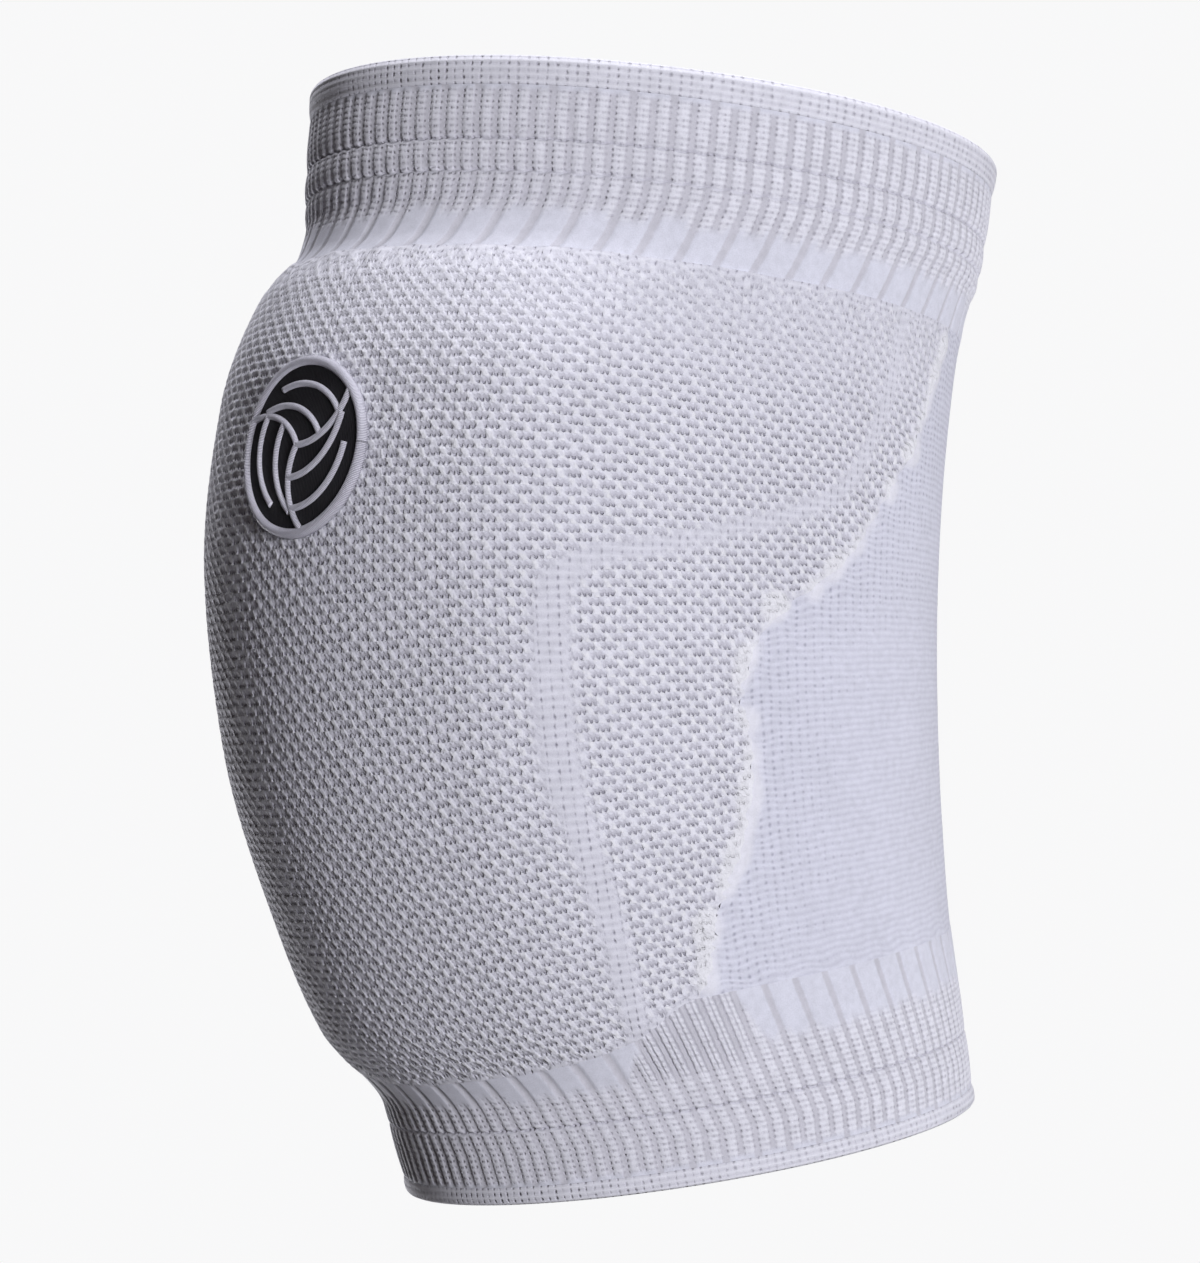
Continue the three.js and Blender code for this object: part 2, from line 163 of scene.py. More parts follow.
# The thigh cuff. Elastic yarn knitted two wales up, one wale down, which makes raised ribs with greyish
# valleys between them, in three tiers with a tuck where one drops back to the next. Everything is knitted
# on one machine, so all pieces share the sleeve's surface and its count of ribs.
SLEEVE_LENGTH = 0.195
LEG_RADIUS = 0.060
PAD_RISE = 0.0184
THIGH_LEAN = radians(7.2)
CALF_LEAN = radians(11.2)
KNIT = 0.0020
RIB_COUNT = 110
RIB_RISE = 0.00029
TIER_STEP = 0.0007
RIB_COURSES = 178  # rows of loops over the whole sleeve, where it is ribbed
THIGH_SLANT = radians(4.4)
CALF_SLANT = radians(7)
FIBRE_GRAIN = 0.00022
SECTIONS = [  # half widths as shares of LEG_RADIUS and the pad's share of PAD_RISE, from the calf rim up
    {"at": 0.0, "side": 0.908, "front": 0.877, "back": 0.938, "rise": 0.0},
    {"at": 0.09, "side": 0.925, "front": 0.913, "back": 0.94, "rise": 0.0},
    {"at": 0.17, "side": 0.94, "front": 0.94, "back": 0.94, "rise": 0.45},
    {"at": 0.28, "side": 0.962, "front": 0.968, "back": 0.957, "rise": 0.7},
    {"at": 0.42, "side": 0.985, "front": 0.998, "back": 0.98, "rise": 0.935},
    {"at": 0.56, "side": 1.003, "front": 1.022, "back": 0.995, "rise": 1.0},
    {"at": 0.7, "side": 1.02, "front": 1.04, "back": 1.005, "rise": 0.837},
    {"at": 0.79, "side": 1.032, "front": 1.055, "back": 1.015, "rise": 0.495},
    {"at": 0.835, "side": 1.042, "front": 1.067, "back": 1.03, "rise": 0.1},
    {"at": 0.88, "side": 1.052, "front": 1.088, "back": 1.068, "rise": 0.0},
    {"at": 1.0, "side": 1.062, "front": 1.118, "back": 1.105, "rise": 0.0},
]
THIGH_TIERS = [  # how far each height stands out, as a share of TIER_STEP: creases between rounded tiers
    {"at": 0.866, "out": -0.4},
    {"at": 0.88, "out": 0.2},
    {"at": 0.8885, "out": 0.0},
    {"at": 0.8905, "out": -0.6},
    {"at": 0.8935, "out": 0.2},
    {"at": 0.905, "out": 0.5},
    {"at": 0.919, "out": 0.1},
    {"at": 0.9212, "out": -0.6},
    {"at": 0.924, "out": 0.1},
    {"at": 0.94, "out": 0.4},
    {"at": 0.972, "out": 0.0},
]


def smooth(low, high, x):
    """Eases from 0 at low to 1 at high."""
    t = np.clip((x - low) / (high - low), 0, 1)
    return t * t * (3 - 2 * t)


def ridge(x, low, high, soft):
    """Rises from 0 to 1 across low and falls back across high, each over twice soft."""
    return smooth(low - soft, low + soft, x) * (1 - smooth(high - soft, high + soft, x))


def curve(rows, name, at):
    """A smooth curve through one column of a table that never overshoots its rows: a cubic between rows
    whose slope at a row is the harmonic mean of its neighbours' slopes, or none at a peak."""
    xs = np.array([row["at"] for row in rows], float)
    ys = np.array([row[name] for row in rows], float)
    rise = np.diff(ys) / np.diff(xs)
    slope = np.concatenate([rise[:1], np.zeros(len(xs) - 2), rise[-1:]])
    same = rise[:-1] * rise[1:] > 0
    slope[1:-1][same] = 2 * (rise[:-1] * rise[1:])[same] / (rise[:-1] + rise[1:])[same]
    x = np.clip(at, xs[0], xs[-1])
    k = np.clip(np.searchsorted(xs, x, side="right") - 1, 0, len(xs) - 2)
    step = xs[k + 1] - xs[k]
    t = (x - xs[k]) / step
    return (ys[k] * (1 + 2 * t) * (1 - t) ** 2 + ys[k + 1] * t * t * (3 - 2 * t)
            + step * t * (1 - t) * (slope[k] * (1 - t) - slope[k + 1] * t))


SPINE = np.linspace(0, 1, 481)
spine_mid = (SPINE[1:] + SPINE[:-1]) / 2


def lean(height):
    """How far the leg's axis leans back at this height: straight towards each rim, bent at the knee."""
    return -CALF_LEAN + (CALF_LEAN + THIGH_LEAN) * smooth(0.1, 0.9, height)


spine_y = np.concatenate([[0], np.cumsum(np.sin(lean(spine_mid)))]) * SLEEVE_LENGTH / spine_mid.size
spine_z = np.concatenate([[0], np.cumsum(np.cos(lean(spine_mid)))]) * SLEEVE_LENGTH / spine_mid.size
spine_y -= np.interp(0.5, SPINE, spine_y)
spine_z -= np.interp(0.5, SPINE, spine_z)


def sleeve(angle, height, lift=1.0):
    """Points of the sleeve's outer face. Across the leg it is an ellipse, deeper or shallower in front
    than behind, that the pad lifts along its normal over the kneecap; each section stands square to the
    leg's bent axis."""
    side = LEG_RADIUS * curve(SECTIONS, "side", height)
    deep = LEG_RADIUS * np.where(np.cos(angle) > 0, curve(SECTIONS, "front", height),
                                 curve(SECTIONS, "back", height))
    turn = np.abs(np.arctan2(np.sin(angle), np.cos(angle)))
    rise = lift * PAD_RISE * curve(SECTIONS, "rise", height) * (1 - smooth(0.55, 1.45, turn))
    out_x, out_y = np.sin(angle) / side, -np.cos(angle) / deep
    size = np.hypot(out_x, out_y)
    x = side * np.sin(angle) + rise * out_x / size
    y = -deep * np.cos(angle) + rise * out_y / size
    tip = lean(height)
    return np.stack([x, np.interp(height, SPINE, spine_y) + y * np.cos(tip),
                     np.interp(height, SPINE, spine_z) - y * np.sin(tip)], axis=-1)


def skin(angle, height, lift=1.0):
    """Points of the sleeve and its outward normals, from small steps round and up."""
    nudge = 1e-4
    across = sleeve(angle + nudge, height, lift) - sleeve(angle - nudge, height, lift)
    up = sleeve(angle, height + nudge, lift) - sleeve(angle, height - nudge, lift)
    normal = np.cross(across, up)
    return sleeve(angle, height, lift), normal / np.linalg.norm(normal, axis=-1, keepdims=True)


def raised(angle, height, relief):
    """Points of the sleeve with its relief standing out along the normal, and the normals of the raised
    surface, from points half a stitch to each side."""
    def at(turn, up):
        points, normal = skin(turn, up)
        return points + normal * relief(turn, up)[..., None]

    across = at(angle + NUDGE_ROUND, height) - at(angle - NUDGE_ROUND, height)
    up = at(angle, height + NUDGE_UP) - at(angle, height - NUDGE_UP)
    normal = np.cross(across, up)
    return at(angle, height), normal / np.linalg.norm(normal, axis=-1, keepdims=True)


def mesh_object(name, points, faces, corners, wale, course, marks, normals=None):
    """A mesh from groups of faces, (their vertices, whether they are smooth). The corners give each face
    corner's place in the knit's own grid, from which its UV (wale, course) and its marks are read. Points
    in the same place are merged, and smooth faces take the normals given, so that the shading runs on
    from one piece of knit to the next."""
    mesh = bpy.data.meshes.new(name)
    mesh.vertices.add(len(points))
    mesh.vertices.foreach_set("co", np.ascontiguousarray(points, dtype=np.float32).ravel())
    sides = np.concatenate([np.full(len(group), group.shape[1]) for group, _ in faces])
    mesh.loops.add(int(sides.sum()))
    mesh.loops.foreach_set("vertex_index", np.concatenate([g.ravel() for g, _ in faces]).astype(np.int32))
    mesh.polygons.add(len(sides))
    mesh.polygons.foreach_set("loop_start", (np.cumsum(sides) - sides).astype(np.int32))
    mesh.polygons.foreach_set("use_smooth", np.concatenate([np.full(len(g), soft) for g, soft in faces]))
    mesh.update(calc_edges=True)
    grid = np.stack([wale.ravel()[corners], course.ravel()[corners]], axis=-1)
    mesh.uv_layers.new(name="knit").data.foreach_set("uv", grid.astype(np.float32).ravel())
    for mark, values in marks.items():
        layer = mesh.attributes.new(mark, "FLOAT", "CORNER")
        layer.data.foreach_set("value", values.ravel()[corners].astype(np.float32))
    if normals is not None:
        layer = mesh.attributes.new("facing", "FLOAT_VECTOR", "POINT")
        layer.data.foreach_set("vector", normals.astype(np.float32).ravel())
    edited = bmesh.new()
    edited.from_mesh(mesh)
    bmesh.ops.remove_doubles(edited, verts=edited.verts, dist=2e-6)
    edited.to_mesh(mesh)
    edited.free()
    if normals is not None:
        facing = np.zeros((len(mesh.vertices), 3), np.float32)
        mesh.attributes["facing"].data.foreach_get("vector", facing.ravel())
        mesh.attributes.remove(mesh.attributes["facing"])
        vertex, soft = np.zeros(len(mesh.loops), np.int32), np.zeros(len(mesh.polygons), bool)
        total = np.zeros(len(mesh.polygons), np.int32)
        mesh.loops.foreach_get("vertex_index", vertex)
        mesh.polygons.foreach_get("use_smooth", soft)
        mesh.polygons.foreach_get("loop_total", total)
        mesh.normals_split_custom_set(facing[vertex] * np.repeat(soft, total)[:, None])
    piece = bpy.data.objects.new(name, mesh)
    bpy.context.scene.collection.objects.link(piece)
    return piece


BLOCK = 4  # rows and columns of the outer face to one of the inner
NUDGE_ROUND, NUDGE_UP = 0.0045, 0.0012  # half a stitch round and up


def knitted(name, angle, height, relief, wale, course, marks=None, ring=False, cloth=KNIT):
    """A wall of knit over a grid of angles and heights, with its relief standing out along the surface's
    normal. The inner face lies one cloth's thickness in and has one cell to a block of the outer face's,
    and a strip joins the two all round. Blocks that the piece's borders squeeze to nothing are left out,
    and points that they squeeze together are merged."""
    points, normal = skin(angle, height)
    outside, facing = raised(angle, height, relief)
    count = angle.size
    place = np.arange(count).reshape(angle.shape)
    joined = place.copy()
    if ring:
        joined[:, -1] = joined[:, 0]

    def cells(grid):
        return np.stack([grid[:-1, :-1], grid[:-1, 1:], grid[1:, 1:], grid[1:, :-1]], axis=-1)

    turn, up = cells(angle), cells(height)
    area = np.abs((turn[..., 2] - turn[..., 0]) * (up[..., 3] - up[..., 1])
                  - (turn[..., 3] - turn[..., 1]) * (up[..., 2] - up[..., 0]))
    rows, columns = area.shape[0] // BLOCK, area.shape[1] // BLOCK
    present = area.reshape(rows, BLOCK, columns, BLOCK).max((1, 3)) > 1e-9
    outer = cells(place)[np.kron(present, np.ones((BLOCK, BLOCK), int)).astype(bool)]
    inner = cells(place[::BLOCK, ::BLOCK])[present][:, ::-1] + count

    framed = np.zeros((rows + 2, columns + 2), bool)
    framed[1:-1, 1:-1] = present
    if ring:
        framed[1:-1, 0], framed[1:-1, -1] = present[:, -1], present[:, 0]
    run = np.arange(BLOCK + 1)
    strips = []
    for beyond, down, across, order in ((framed[:-2, 1:-1], 0, run, -1), (framed[2:, 1:-1], BLOCK, run, 1),
                                        (framed[1:-1, :-2], run, 0, 1), (framed[1:-1, 2:], run, BLOCK, -1)):
        row, column = np.nonzero(present & ~beyond)
        side = place[row[:, None] * BLOCK + down, column[:, None] * BLOCK + across][:, ::order]
        strips.append(np.concatenate([side, side[:, -1:] + count, side[:, :1] + count], axis=1))
    strips = np.concatenate(strips)

    both = np.concatenate([outside.reshape(-1, 3), (points - normal * cloth).reshape(-1, 3)])
    facing = np.concatenate([facing.reshape(-1, 3), np.zeros((count, 3))])
    corners = np.concatenate([outer.ravel(), strips.ravel(), inner.ravel()])
    vertex = joined.ravel()[corners % count] + count * (corners >= count)
    used, vertex = np.unique(vertex, return_inverse=True)
    ends = np.cumsum([outer.size, strips.size])
    outer, strips, inner = (part.reshape(shape.shape) for part, shape in
                            zip(np.split(vertex, ends), (outer, strips, inner)))
    return mesh_object(name, both[used], [(outer, True), (strips, False), (inner, True)], corners % count,
                       wale, course, marks or {}, facing[used])


def dress(piece, material, slot, *nodes):
    """Gives a finished piece its material and ties it to the frame."""
    piece.data.materials.append(material)
    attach(piece, "root")
    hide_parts(*nodes)
    return piece


def around(samples):
    """Angles once round the leg, the first and the last the same place."""
    return np.linspace(-np.pi, np.pi, samples + 1)


def tier_heights(tiers, fine):
    """Heights of the rows of a cuff, whole blocks of them between one row of the table and the next."""
    at = [row["at"] for row in tiers]
    parts = [np.linspace(low, high, BLOCK * int(np.ceil((high - low) / fine / BLOCK)) + 1)[:-1]
             for low, high in zip(at[:-1], at[1:])]
    return np.concatenate([*parts, at[-1:]])


def wales(angle, height):
    """The rib that passes through a point, counted round from the front. Ribs run straight up the cuffs
    and slant more and more across the yokes, where the knit is drawn in."""
    slant = (THIGH_SLANT * np.clip((0.89 - height) / 0.072, 0, 1) ** 1.5
             - CALF_SLANT * np.clip((0.175 - height) / 0.125, 0, 1))
    return (angle + slant) * RIB_COUNT / (2 * np.pi)


def from_front(angle):
    """Degrees round from the front of the knee, to either side."""
    return np.degrees(np.abs(np.arctan2(np.sin(angle), np.cos(angle))))


def drawn_in(angle):
    """1 beside the pad's lower corners, where every needle of the calf yoke is drawn in up to its border."""
    return smooth(44, 53, from_front(angle)) * (1 - smooth(64, 75, from_front(angle)))


def gathered(angle, height):
    """1 where the knit is gathered into ribs and 0 where their yarn floats loose, in the yokes. No two
    ribs end at quite the same height."""
    low = 0.098 + 0.025 * smooth(45, 62, from_front(angle)) + 0.06 * drawn_in(angle)
    uneven = 0.004 * np.sin(1.7 * np.floor(wales(angle, height) + 0.5) ** 2)
    return smooth(0.848, 0.862, height + uneven) + 1 - smooth(low - 0.004, low + 0.012, height + uneven)


def rib_relief(angle, height):
    """Height of the ribs over the knit's mean: each valley is a rounded trough. Every second one runs on
    across the yoke as a groove, and the others fade out with the gathers."""
    wale = wales(angle, height)
    trough = 1 - ridge(wale % 1.0, 0.23, 0.79, 0.14)
    second = np.floor(wale + 0.5) % 2
    cut = trough * np.where(second == 1, gathered(angle, height), 1.0)
    return RIB_RISE * (0.35 - cut)


def rim_fade(height, border):
    """Falls to 0 on a border, so that neighbouring pieces meet there."""
    return smooth(0, 0.004, np.abs(height - border))


def knit_tree(name):
    """A new material with its node tree and the knit's UV: wales across, which wobble a little, and
    courses up."""
    material = bpy.data.materials.new(name)
    material.use_nodes = True
    tree = material.node_tree
    wale = add(tree, "ShaderNodeSeparateXYZ", {0: add(tree, "ShaderNodeUVMap", uv_map="knit")})
    course = wale.node.outputs["Y"]
    where = add(tree, "ShaderNodeTexCoord", out="Object")
    wobble = add(tree, "ShaderNodeTexNoise", {"Vector": where, "Scale": 1 / 0.0009, "Detail": 1.0})
    wale = add(tree, "ShaderNodeMath", {0: wobble, 1: 0.12, 2: wale}, operation="MULTIPLY_ADD")
    return material, tree, wale, course


def yarn_finish(tree, colour, stitches, reach):
    """Closes a yarn's material: matt textured polyester with a faint sheen from its fuzz, its stitches as
    a bump of the given reach, and fine fibres over them."""
    bsdf = tree.nodes["Principled BSDF"]
    bsdf.inputs["Roughness"].default_value = 0.85
    bsdf.inputs["Diffuse Roughness"].default_value = 0.3
    bsdf.inputs["Specular IOR Level"].default_value = 0.25
    bsdf.inputs["Sheen Weight"].default_value = 0.1
    bsdf.inputs["Sheen Roughness"].default_value = 0.5
    where = add(tree, "ShaderNodeTexCoord", out="Object")
    fibres = add(tree, "ShaderNodeTexNoise", {"Vector": where, "Scale": 1 / FIBRE_GRAIN, "Detail": 3.0})
    loops = add(tree, "ShaderNodeTexNoise", {"Vector": where, "Scale": 1 / 0.0016, "Detail": 1.0})
    patches = add(tree, "ShaderNodeTexNoise", {"Vector": where, "Scale": 1 / 0.011, "Detail": 4.0})
    for noise, stops in ((patches, [(0.3, 0.96), (0.7, 1.0)]), (loops, [(0.3, 0.93), (0.65, 1.0)]),
                         (fibres, [(0.3, 0.9), (0.62, 1.0)])):
        tone = add(tree, "ShaderNodeValToRGB", {"Fac": noise}, stops=stops)
        colour = add(tree, "ShaderNodeMixRGB", {"Fac": 1.0, "Color1": colour, "Color2": tone},
                     blend_type="MULTIPLY")
    bump = add(tree, "ShaderNodeBump", {"Height": stitches, "Strength": 1.0, "Distance": reach})
    bump = add(tree, "ShaderNodeBump", {"Height": fibres, "Strength": 0.7, "Distance": 0.00005, "Normal": bump})
    tree.links.new(colour, bsdf.inputs["Base Color"])
    tree.links.new(bump, bsdf.inputs["Normal"])


def uneven(tree, weight, low, grain=0.0011):
    """A pattern's weight times a soft noise, from low to 1, because no two loops are pulled alike."""
    where = add(tree, "ShaderNodeTexCoord", out="Object")
    noise = add(tree, "ShaderNodeTexNoise", {"Vector": where, "Scale": 1 / grain, "Detail": 1.0})
    share = add(tree, "ShaderNodeValToRGB", {"Fac": noise}, stops=[(0.35, low), (0.62, 1.0)])
    return add(tree, "ShaderNodeMath", {0: weight, 1: share}, operation="MULTIPLY")


# Rib knit of bright white polyester over elastane. The crests are two needles wide and show small bright bars,
# one to a loop, with painted shade in the gaps between them. The valleys and the yoke's grooves are painted in a
# warm grey shade, and where the yarn dives between the needles dots of painted shade mark it.
RIB_CREST = linear("#F8F8FE")
RIB_VALLEY_SHADE = linear("#DDDCE3")
RIB_GAP_SHADE = linear("#E4E3EB")
RIB_DOT_SHADE = linear("#C9C7D2")
# Painted shade for the creases between the tiers.
RIB_CREASE_SHADE = linear("#A9A7B4")
FLOAT_SHEEN = linear("#EDEEF7")


def rib_knit(name):
    """Three needles to a rib: a ramp of the wale weighs the columns of dots of painted shade between them and
    another parts valley, painted in a grey shade, from crest, where each loop's end stands out, and ramps of the
    course draw the rows, with painted shade in the gaps between the loops. The creases get painted shade. Where
    the knit is drawn in every needle is a line of painted shade, and where it isn't gathered only its floats and
    grooves are left, the grooves in the valleys' painted grey shade."""
    material, tree, wale, course = knit_tree(name)
    gather = add(tree, "ShaderNodeAttribute", {}, out="Fac", attribute_name="gather")
    across = add(tree, "ShaderNodeMath", {0: wale}, operation="FRACT")
    up = add(tree, "ShaderNodeMath", {0: course}, operation="FRACT")
    needle = add(tree, "ShaderNodeMath", {0: wale, 1: 3.0, 2: 0.5}, operation="MULTIPLY_ADD")
    needle = add(tree, "ShaderNodeMath", {0: needle}, operation="FRACT")
    beside = add(tree, "ShaderNodeValToRGB", {"Fac": needle}, stops=[(0, 1), (0.3, 0), (0.7, 0), (1, 1)])
    between = add(tree, "ShaderNodeValToRGB", {"Fac": up}, stops=[(0, 1), (0.36, 0), (0.64, 0), (1, 1)])
    weight = add(tree, "ShaderNodeValToRGB", {"Fac": across},
                 stops=[(0.2, 1), (0.34, 0.35), (0.64, 0.35), (0.8, 0.8)])
    away = add(tree, "ShaderNodeMath", {0: across, 1: 0.49}, operation="SUBTRACT")
    away = add(tree, "ShaderNodeMath", {0: away}, operation="ABSOLUTE")
    ragged = add(tree, "ShaderNodeMath", {0: between, 1: 0.08, 2: away}, operation="MULTIPLY_ADD")
    crest = add(tree, "ShaderNodeValToRGB", {"Fac": ragged}, stops=[(0.22, 1), (0.36, 0)])
    dots = add(tree, "ShaderNodeMath", {0: beside, 1: between}, operation="MULTIPLY")
    dots = add(tree, "ShaderNodeMath", {0: dots, 1: weight}, operation="MULTIPLY")
    dots = uneven(tree, dots, 0.25)
    drawn = add(tree, "ShaderNodeAttribute", {}, out="Fac", attribute_name="drawn")
    threads = add(tree, "ShaderNodeMath", {0: beside, 1: drawn}, operation="MULTIPLY")
    dots = add(tree, "ShaderNodeMath", {0: dots, 1: threads}, operation="MAXIMUM")
    gaps = add(tree, "ShaderNodeMath", {0: between, 1: crest}, operation="MULTIPLY")
    gaps = uneven(tree, gaps, 0.2)
    colour = add(tree, "ShaderNodeMixRGB", {"Fac": crest, "Color1": RIB_VALLEY_SHADE, "Color2": RIB_CREST})
    colour = add(tree, "ShaderNodeMixRGB", {"Fac": gaps, "Color1": colour, "Color2": RIB_GAP_SHADE})
    colour = add(tree, "ShaderNodeMixRGB", {"Fac": dots, "Color1": colour, "Color2": RIB_DOT_SHADE})
    crease_shade = add(tree, "ShaderNodeAttribute", {}, out="Fac", attribute_name="crease_shade")
    colour = add(tree, "ShaderNodeMixRGB", {"Fac": crease_shade, "Color1": colour, "Color2": RIB_CREASE_SHADE})
    pair = add(tree, "ShaderNodeMath", {0: wale, 1: 0.5}, operation="MULTIPLY")
    pair = add(tree, "ShaderNodeMath", {0: pair}, operation="FRACT")
    groove = add(tree, "ShaderNodeValToRGB", {"Fac": pair},
                 stops=[(0, 1), (0.08, 1), (0.15, 0), (0.86, 0), (0.92, 1)])
    floats = add(tree, "ShaderNodeMixRGB", {"Fac": groove, "Color1": FLOAT_SHEEN, "Color2": RIB_VALLEY_SHADE})
    colour = add(tree, "ShaderNodeMixRGB", {"Fac": gather, "Color1": floats, "Color2": colour})
    relief = add(tree, "ShaderNodeMath", {0: gaps, 1: 0.4, 2: dots}, operation="MULTIPLY_ADD")
    relief = add(tree, "ShaderNodeMath", {0: relief, 1: gather}, operation="MULTIPLY")
    relief = add(tree, "ShaderNodeMath", {0: 1.0, 1: relief}, operation="SUBTRACT")
    yarn_finish(tree, colour, relief, 0.00042)
    return material


def cuff(name, tiers, ends):
    """A ribbed cuff: the ribs stand on rounded tiers, and fade out towards the welt. The creases between
    the tiers scallop, lower on each crest than in the valley beside it."""
    angle, height = np.meshgrid(around(8 * RIB_COUNT), tier_heights(tiers, CUFF_ROW))

    def out(turn, up):
        crest = ridge(wales(turn, up) % 1.0, 0.23, 0.79, 0.14)
        shift = 0.0018 * (crest - 0.5) * rim_fade(up, tiers[0]["at"]) * rim_fade(up, tiers[-1]["at"])
        return curve(tiers, "out", up + shift)

    def relief(turn, up):
        return TIER_STEP * out(turn, up) + rib_relief(turn, up) * rim_fade(up, ends)

    gather = gathered(angle, height) * smooth(0.001, 0.007, np.abs(height - ends))
    # Painted shade in the creases between the tiers, darkest where a tier dips furthest in.
    crease_shade = 0.28 * smooth(-0.1, -0.5, out(angle, height)) * rim_fade(height, tiers[0]["at"])
    return knitted(name, angle, height, relief, wales(angle, height), height * RIB_COURSES,
                   {"gather": gather, "crease_shade": crease_shade}, ring=True)


CUFF_ROW = 0.0022
cuff_yarn = rib_knit("rib_knit_polyester")
dress(cuff("thigh_cuff_knit", THIGH_TIERS, 0.972), cuff_yarn, "rib_knit", "thigh_cuff")

# The thigh welt. The rim is plain knit folded over on itself and caught down, so it is a rounded, slightly
# thicker edge, without ribs, on which every loop shows as a dot of painted shade in fine even rows.
WELT_SWELL = 0.0004
WELT_WALES = 218
WELT_COURSES = 156
THIGH_WELT = (0.972, 1.0)
WELT_YARN = linear("#F8F8FE")
WELT_DOT_SHADE = linear("#C8C6D2")


def dotted_knit(name, yarn, dot, lines=0.3, reach=0.0005, dots_from=None):
    """Plain knit: bright loops with a dark dot of painted shade where four of them meet and a fainter line of
    painted shade between courses. Where the mark named falls to 0 the dots fade and only the lines are left,
    and on the knots of a seam the knit is pale."""
    material, tree, wale, course = knit_tree(name)
    across = add(tree, "ShaderNodeMath", {0: wale}, operation="FRACT")
    up = add(tree, "ShaderNodeMath", {0: course}, operation="FRACT")
    beside = add(tree, "ShaderNodeValToRGB", {"Fac": across}, stops=[(0, 1), (0.36, 0), (0.64, 0), (1, 1)])
    between = add(tree, "ShaderNodeValToRGB", {"Fac": up}, stops=[(0, 1), (0.42, 0), (0.58, 0), (1, 1)])
    dots = add(tree, "ShaderNodeMath", {0: beside, 1: between}, operation="MULTIPLY")
    if dots_from:
        near = add(tree, "ShaderNodeAttribute", {}, out="Fac", attribute_name=dots_from)
        dots = add(tree, "ShaderNodeMath", {0: dots, 1: near}, operation="MULTIPLY")
    dots = uneven(tree, dots, 0.4)
    faint = add(tree, "ShaderNodeMath", {0: between, 1: lines}, operation="MULTIPLY")
    shade = add(tree, "ShaderNodeMath", {0: dots, 1: faint}, operation="MAXIMUM")
    colour = add(tree, "ShaderNodeMixRGB", {"Fac": shade, "Color1": yarn, "Color2": dot})
    knot = add(tree, "ShaderNodeAttribute", {}, out="Fac", attribute_name="knot")
    colour = add(tree, "ShaderNodeMixRGB", {"Fac": knot, "Color1": colour, "Color2": WELT_YARN})
    height = add(tree, "ShaderNodeMath", {0: 1.0, 1: shade}, operation="SUBTRACT")
    yarn_finish(tree, colour, height, reach)
    return material


def welt(name, border, rim):
    """A closed hoop: the outer face swells from the cuff towards the rim, the rim is half a circle, and
    the inner face returns under it."""
    thick = KNIT + WELT_SWELL
    reach = abs(rim - border) * SLEEVE_LENGTH
    turn = np.linspace(0, np.pi, 9)[1:-1]
    face = np.linspace(0, 1, 17) * (reach - thick / 2)
    along = np.concatenate([face, reach - thick / 2 + np.sin(turn) * thick / 2, face[::-4]])
    swell = WELT_SWELL * np.sin(np.pi / 2 * np.clip(face / reach * 2, 0, 1))
    out = np.concatenate([swell, swell[-1] - thick / 2 + np.cos(turn) * thick / 2,
                          np.linspace(swell[-1] - thick, -KNIT, len(face[::-4]))])
    angle, row = np.meshgrid(around(4 * RIB_COUNT), np.arange(along.size + 1) % along.size)
    height = border + (rim - border) * along[row] / reach
    points, normal = skin(angle, height)
    points += normal * out[row][..., None]
    path = np.concatenate([[0], np.cumsum(np.hypot(np.diff(along), np.diff(out)))])
    course = path[np.minimum(np.arange(along.size + 1), along.size - 1)] / SLEEVE_LENGTH * WELT_COURSES
    place = np.arange(angle.size).reshape(angle.shape)
    joined = place.copy()
    joined[:, -1] = joined[:, 0]
    joined[-1] = joined[0]

    def cells(grid):
        quads = np.stack([grid[:-1, :-1], grid[:-1, 1:], grid[1:, 1:], grid[1:, :-1]], axis=-1).reshape(-1, 4)
        return quads if rim > border else quads[:, ::-1]

    used, vertex = np.unique(cells(joined), return_inverse=True)
    return mesh_object(name, points.reshape(-1, 3)[used], [(vertex.reshape(-1, 4), True)],
                       cells(place).ravel(), angle * WELT_WALES / (2 * np.pi),
                       np.broadcast_to(course[:, None], angle.shape), {})


welt_yarn = dotted_knit("folded_welt_knit", WELT_YARN, WELT_DOT_SHADE)
dress(welt("thigh_welt_knit", *THIGH_WELT), welt_yarn, "welt_knit", "thigh_welt")

# The calf cuff and its welt. The same two knits, a size narrower, close the sleeve below the knee.
CALF_TIERS = [
    {"at": 0.018, "out": 0.0},
    {"at": 0.05, "out": 0.3},
    {"at": 0.0705, "out": 0.1},
    {"at": 0.0729, "out": -0.6},
    {"at": 0.0755, "out": 0.1},
    {"at": 0.0975, "out": 0.2},
]
CALF_WELT = (0.018, 0.0)
dress(cuff("calf_cuff_knit", CALF_TIERS, 0.018), cuff_yarn, "rib_knit", "calf_cuff")
dress(welt("calf_welt_knit", *CALF_WELT), welt_yarn, "welt_knit", "calf_welt")

# The yokes. Between each cuff and the knee the knit is smooth, because its yarn floats over many needles.
# It is gathered into slanting grooves, which the ribs turn into, and it slopes down on the knee side to the
# edge of the pad. The lower one follows the pad's lower edge, so it is deeper at the back.
PANEL_TOP = 0.818
PANEL_BOTTOM = 0.122
CLIMB_END = 0.3
CALF_BORDER = [  # how much higher the lower border lies, by degrees round from the front
    {"at": 0, "climb": 0.0},
    {"at": 15, "climb": 0.004},
    {"at": 35, "climb": 0.011},
    {"at": 48, "climb": 0.024},
    {"at": 61, "climb": 0.055},
    {"at": 180, "climb": 0.055},
]


def climbed(height, angle):
    """A height once the lower border has climbed towards the back, which fades out upwards."""
    return height + curve(CALF_BORDER, "climb", from_front(angle)) * (1 - smooth(PANEL_BOTTOM, CLIMB_END, height))


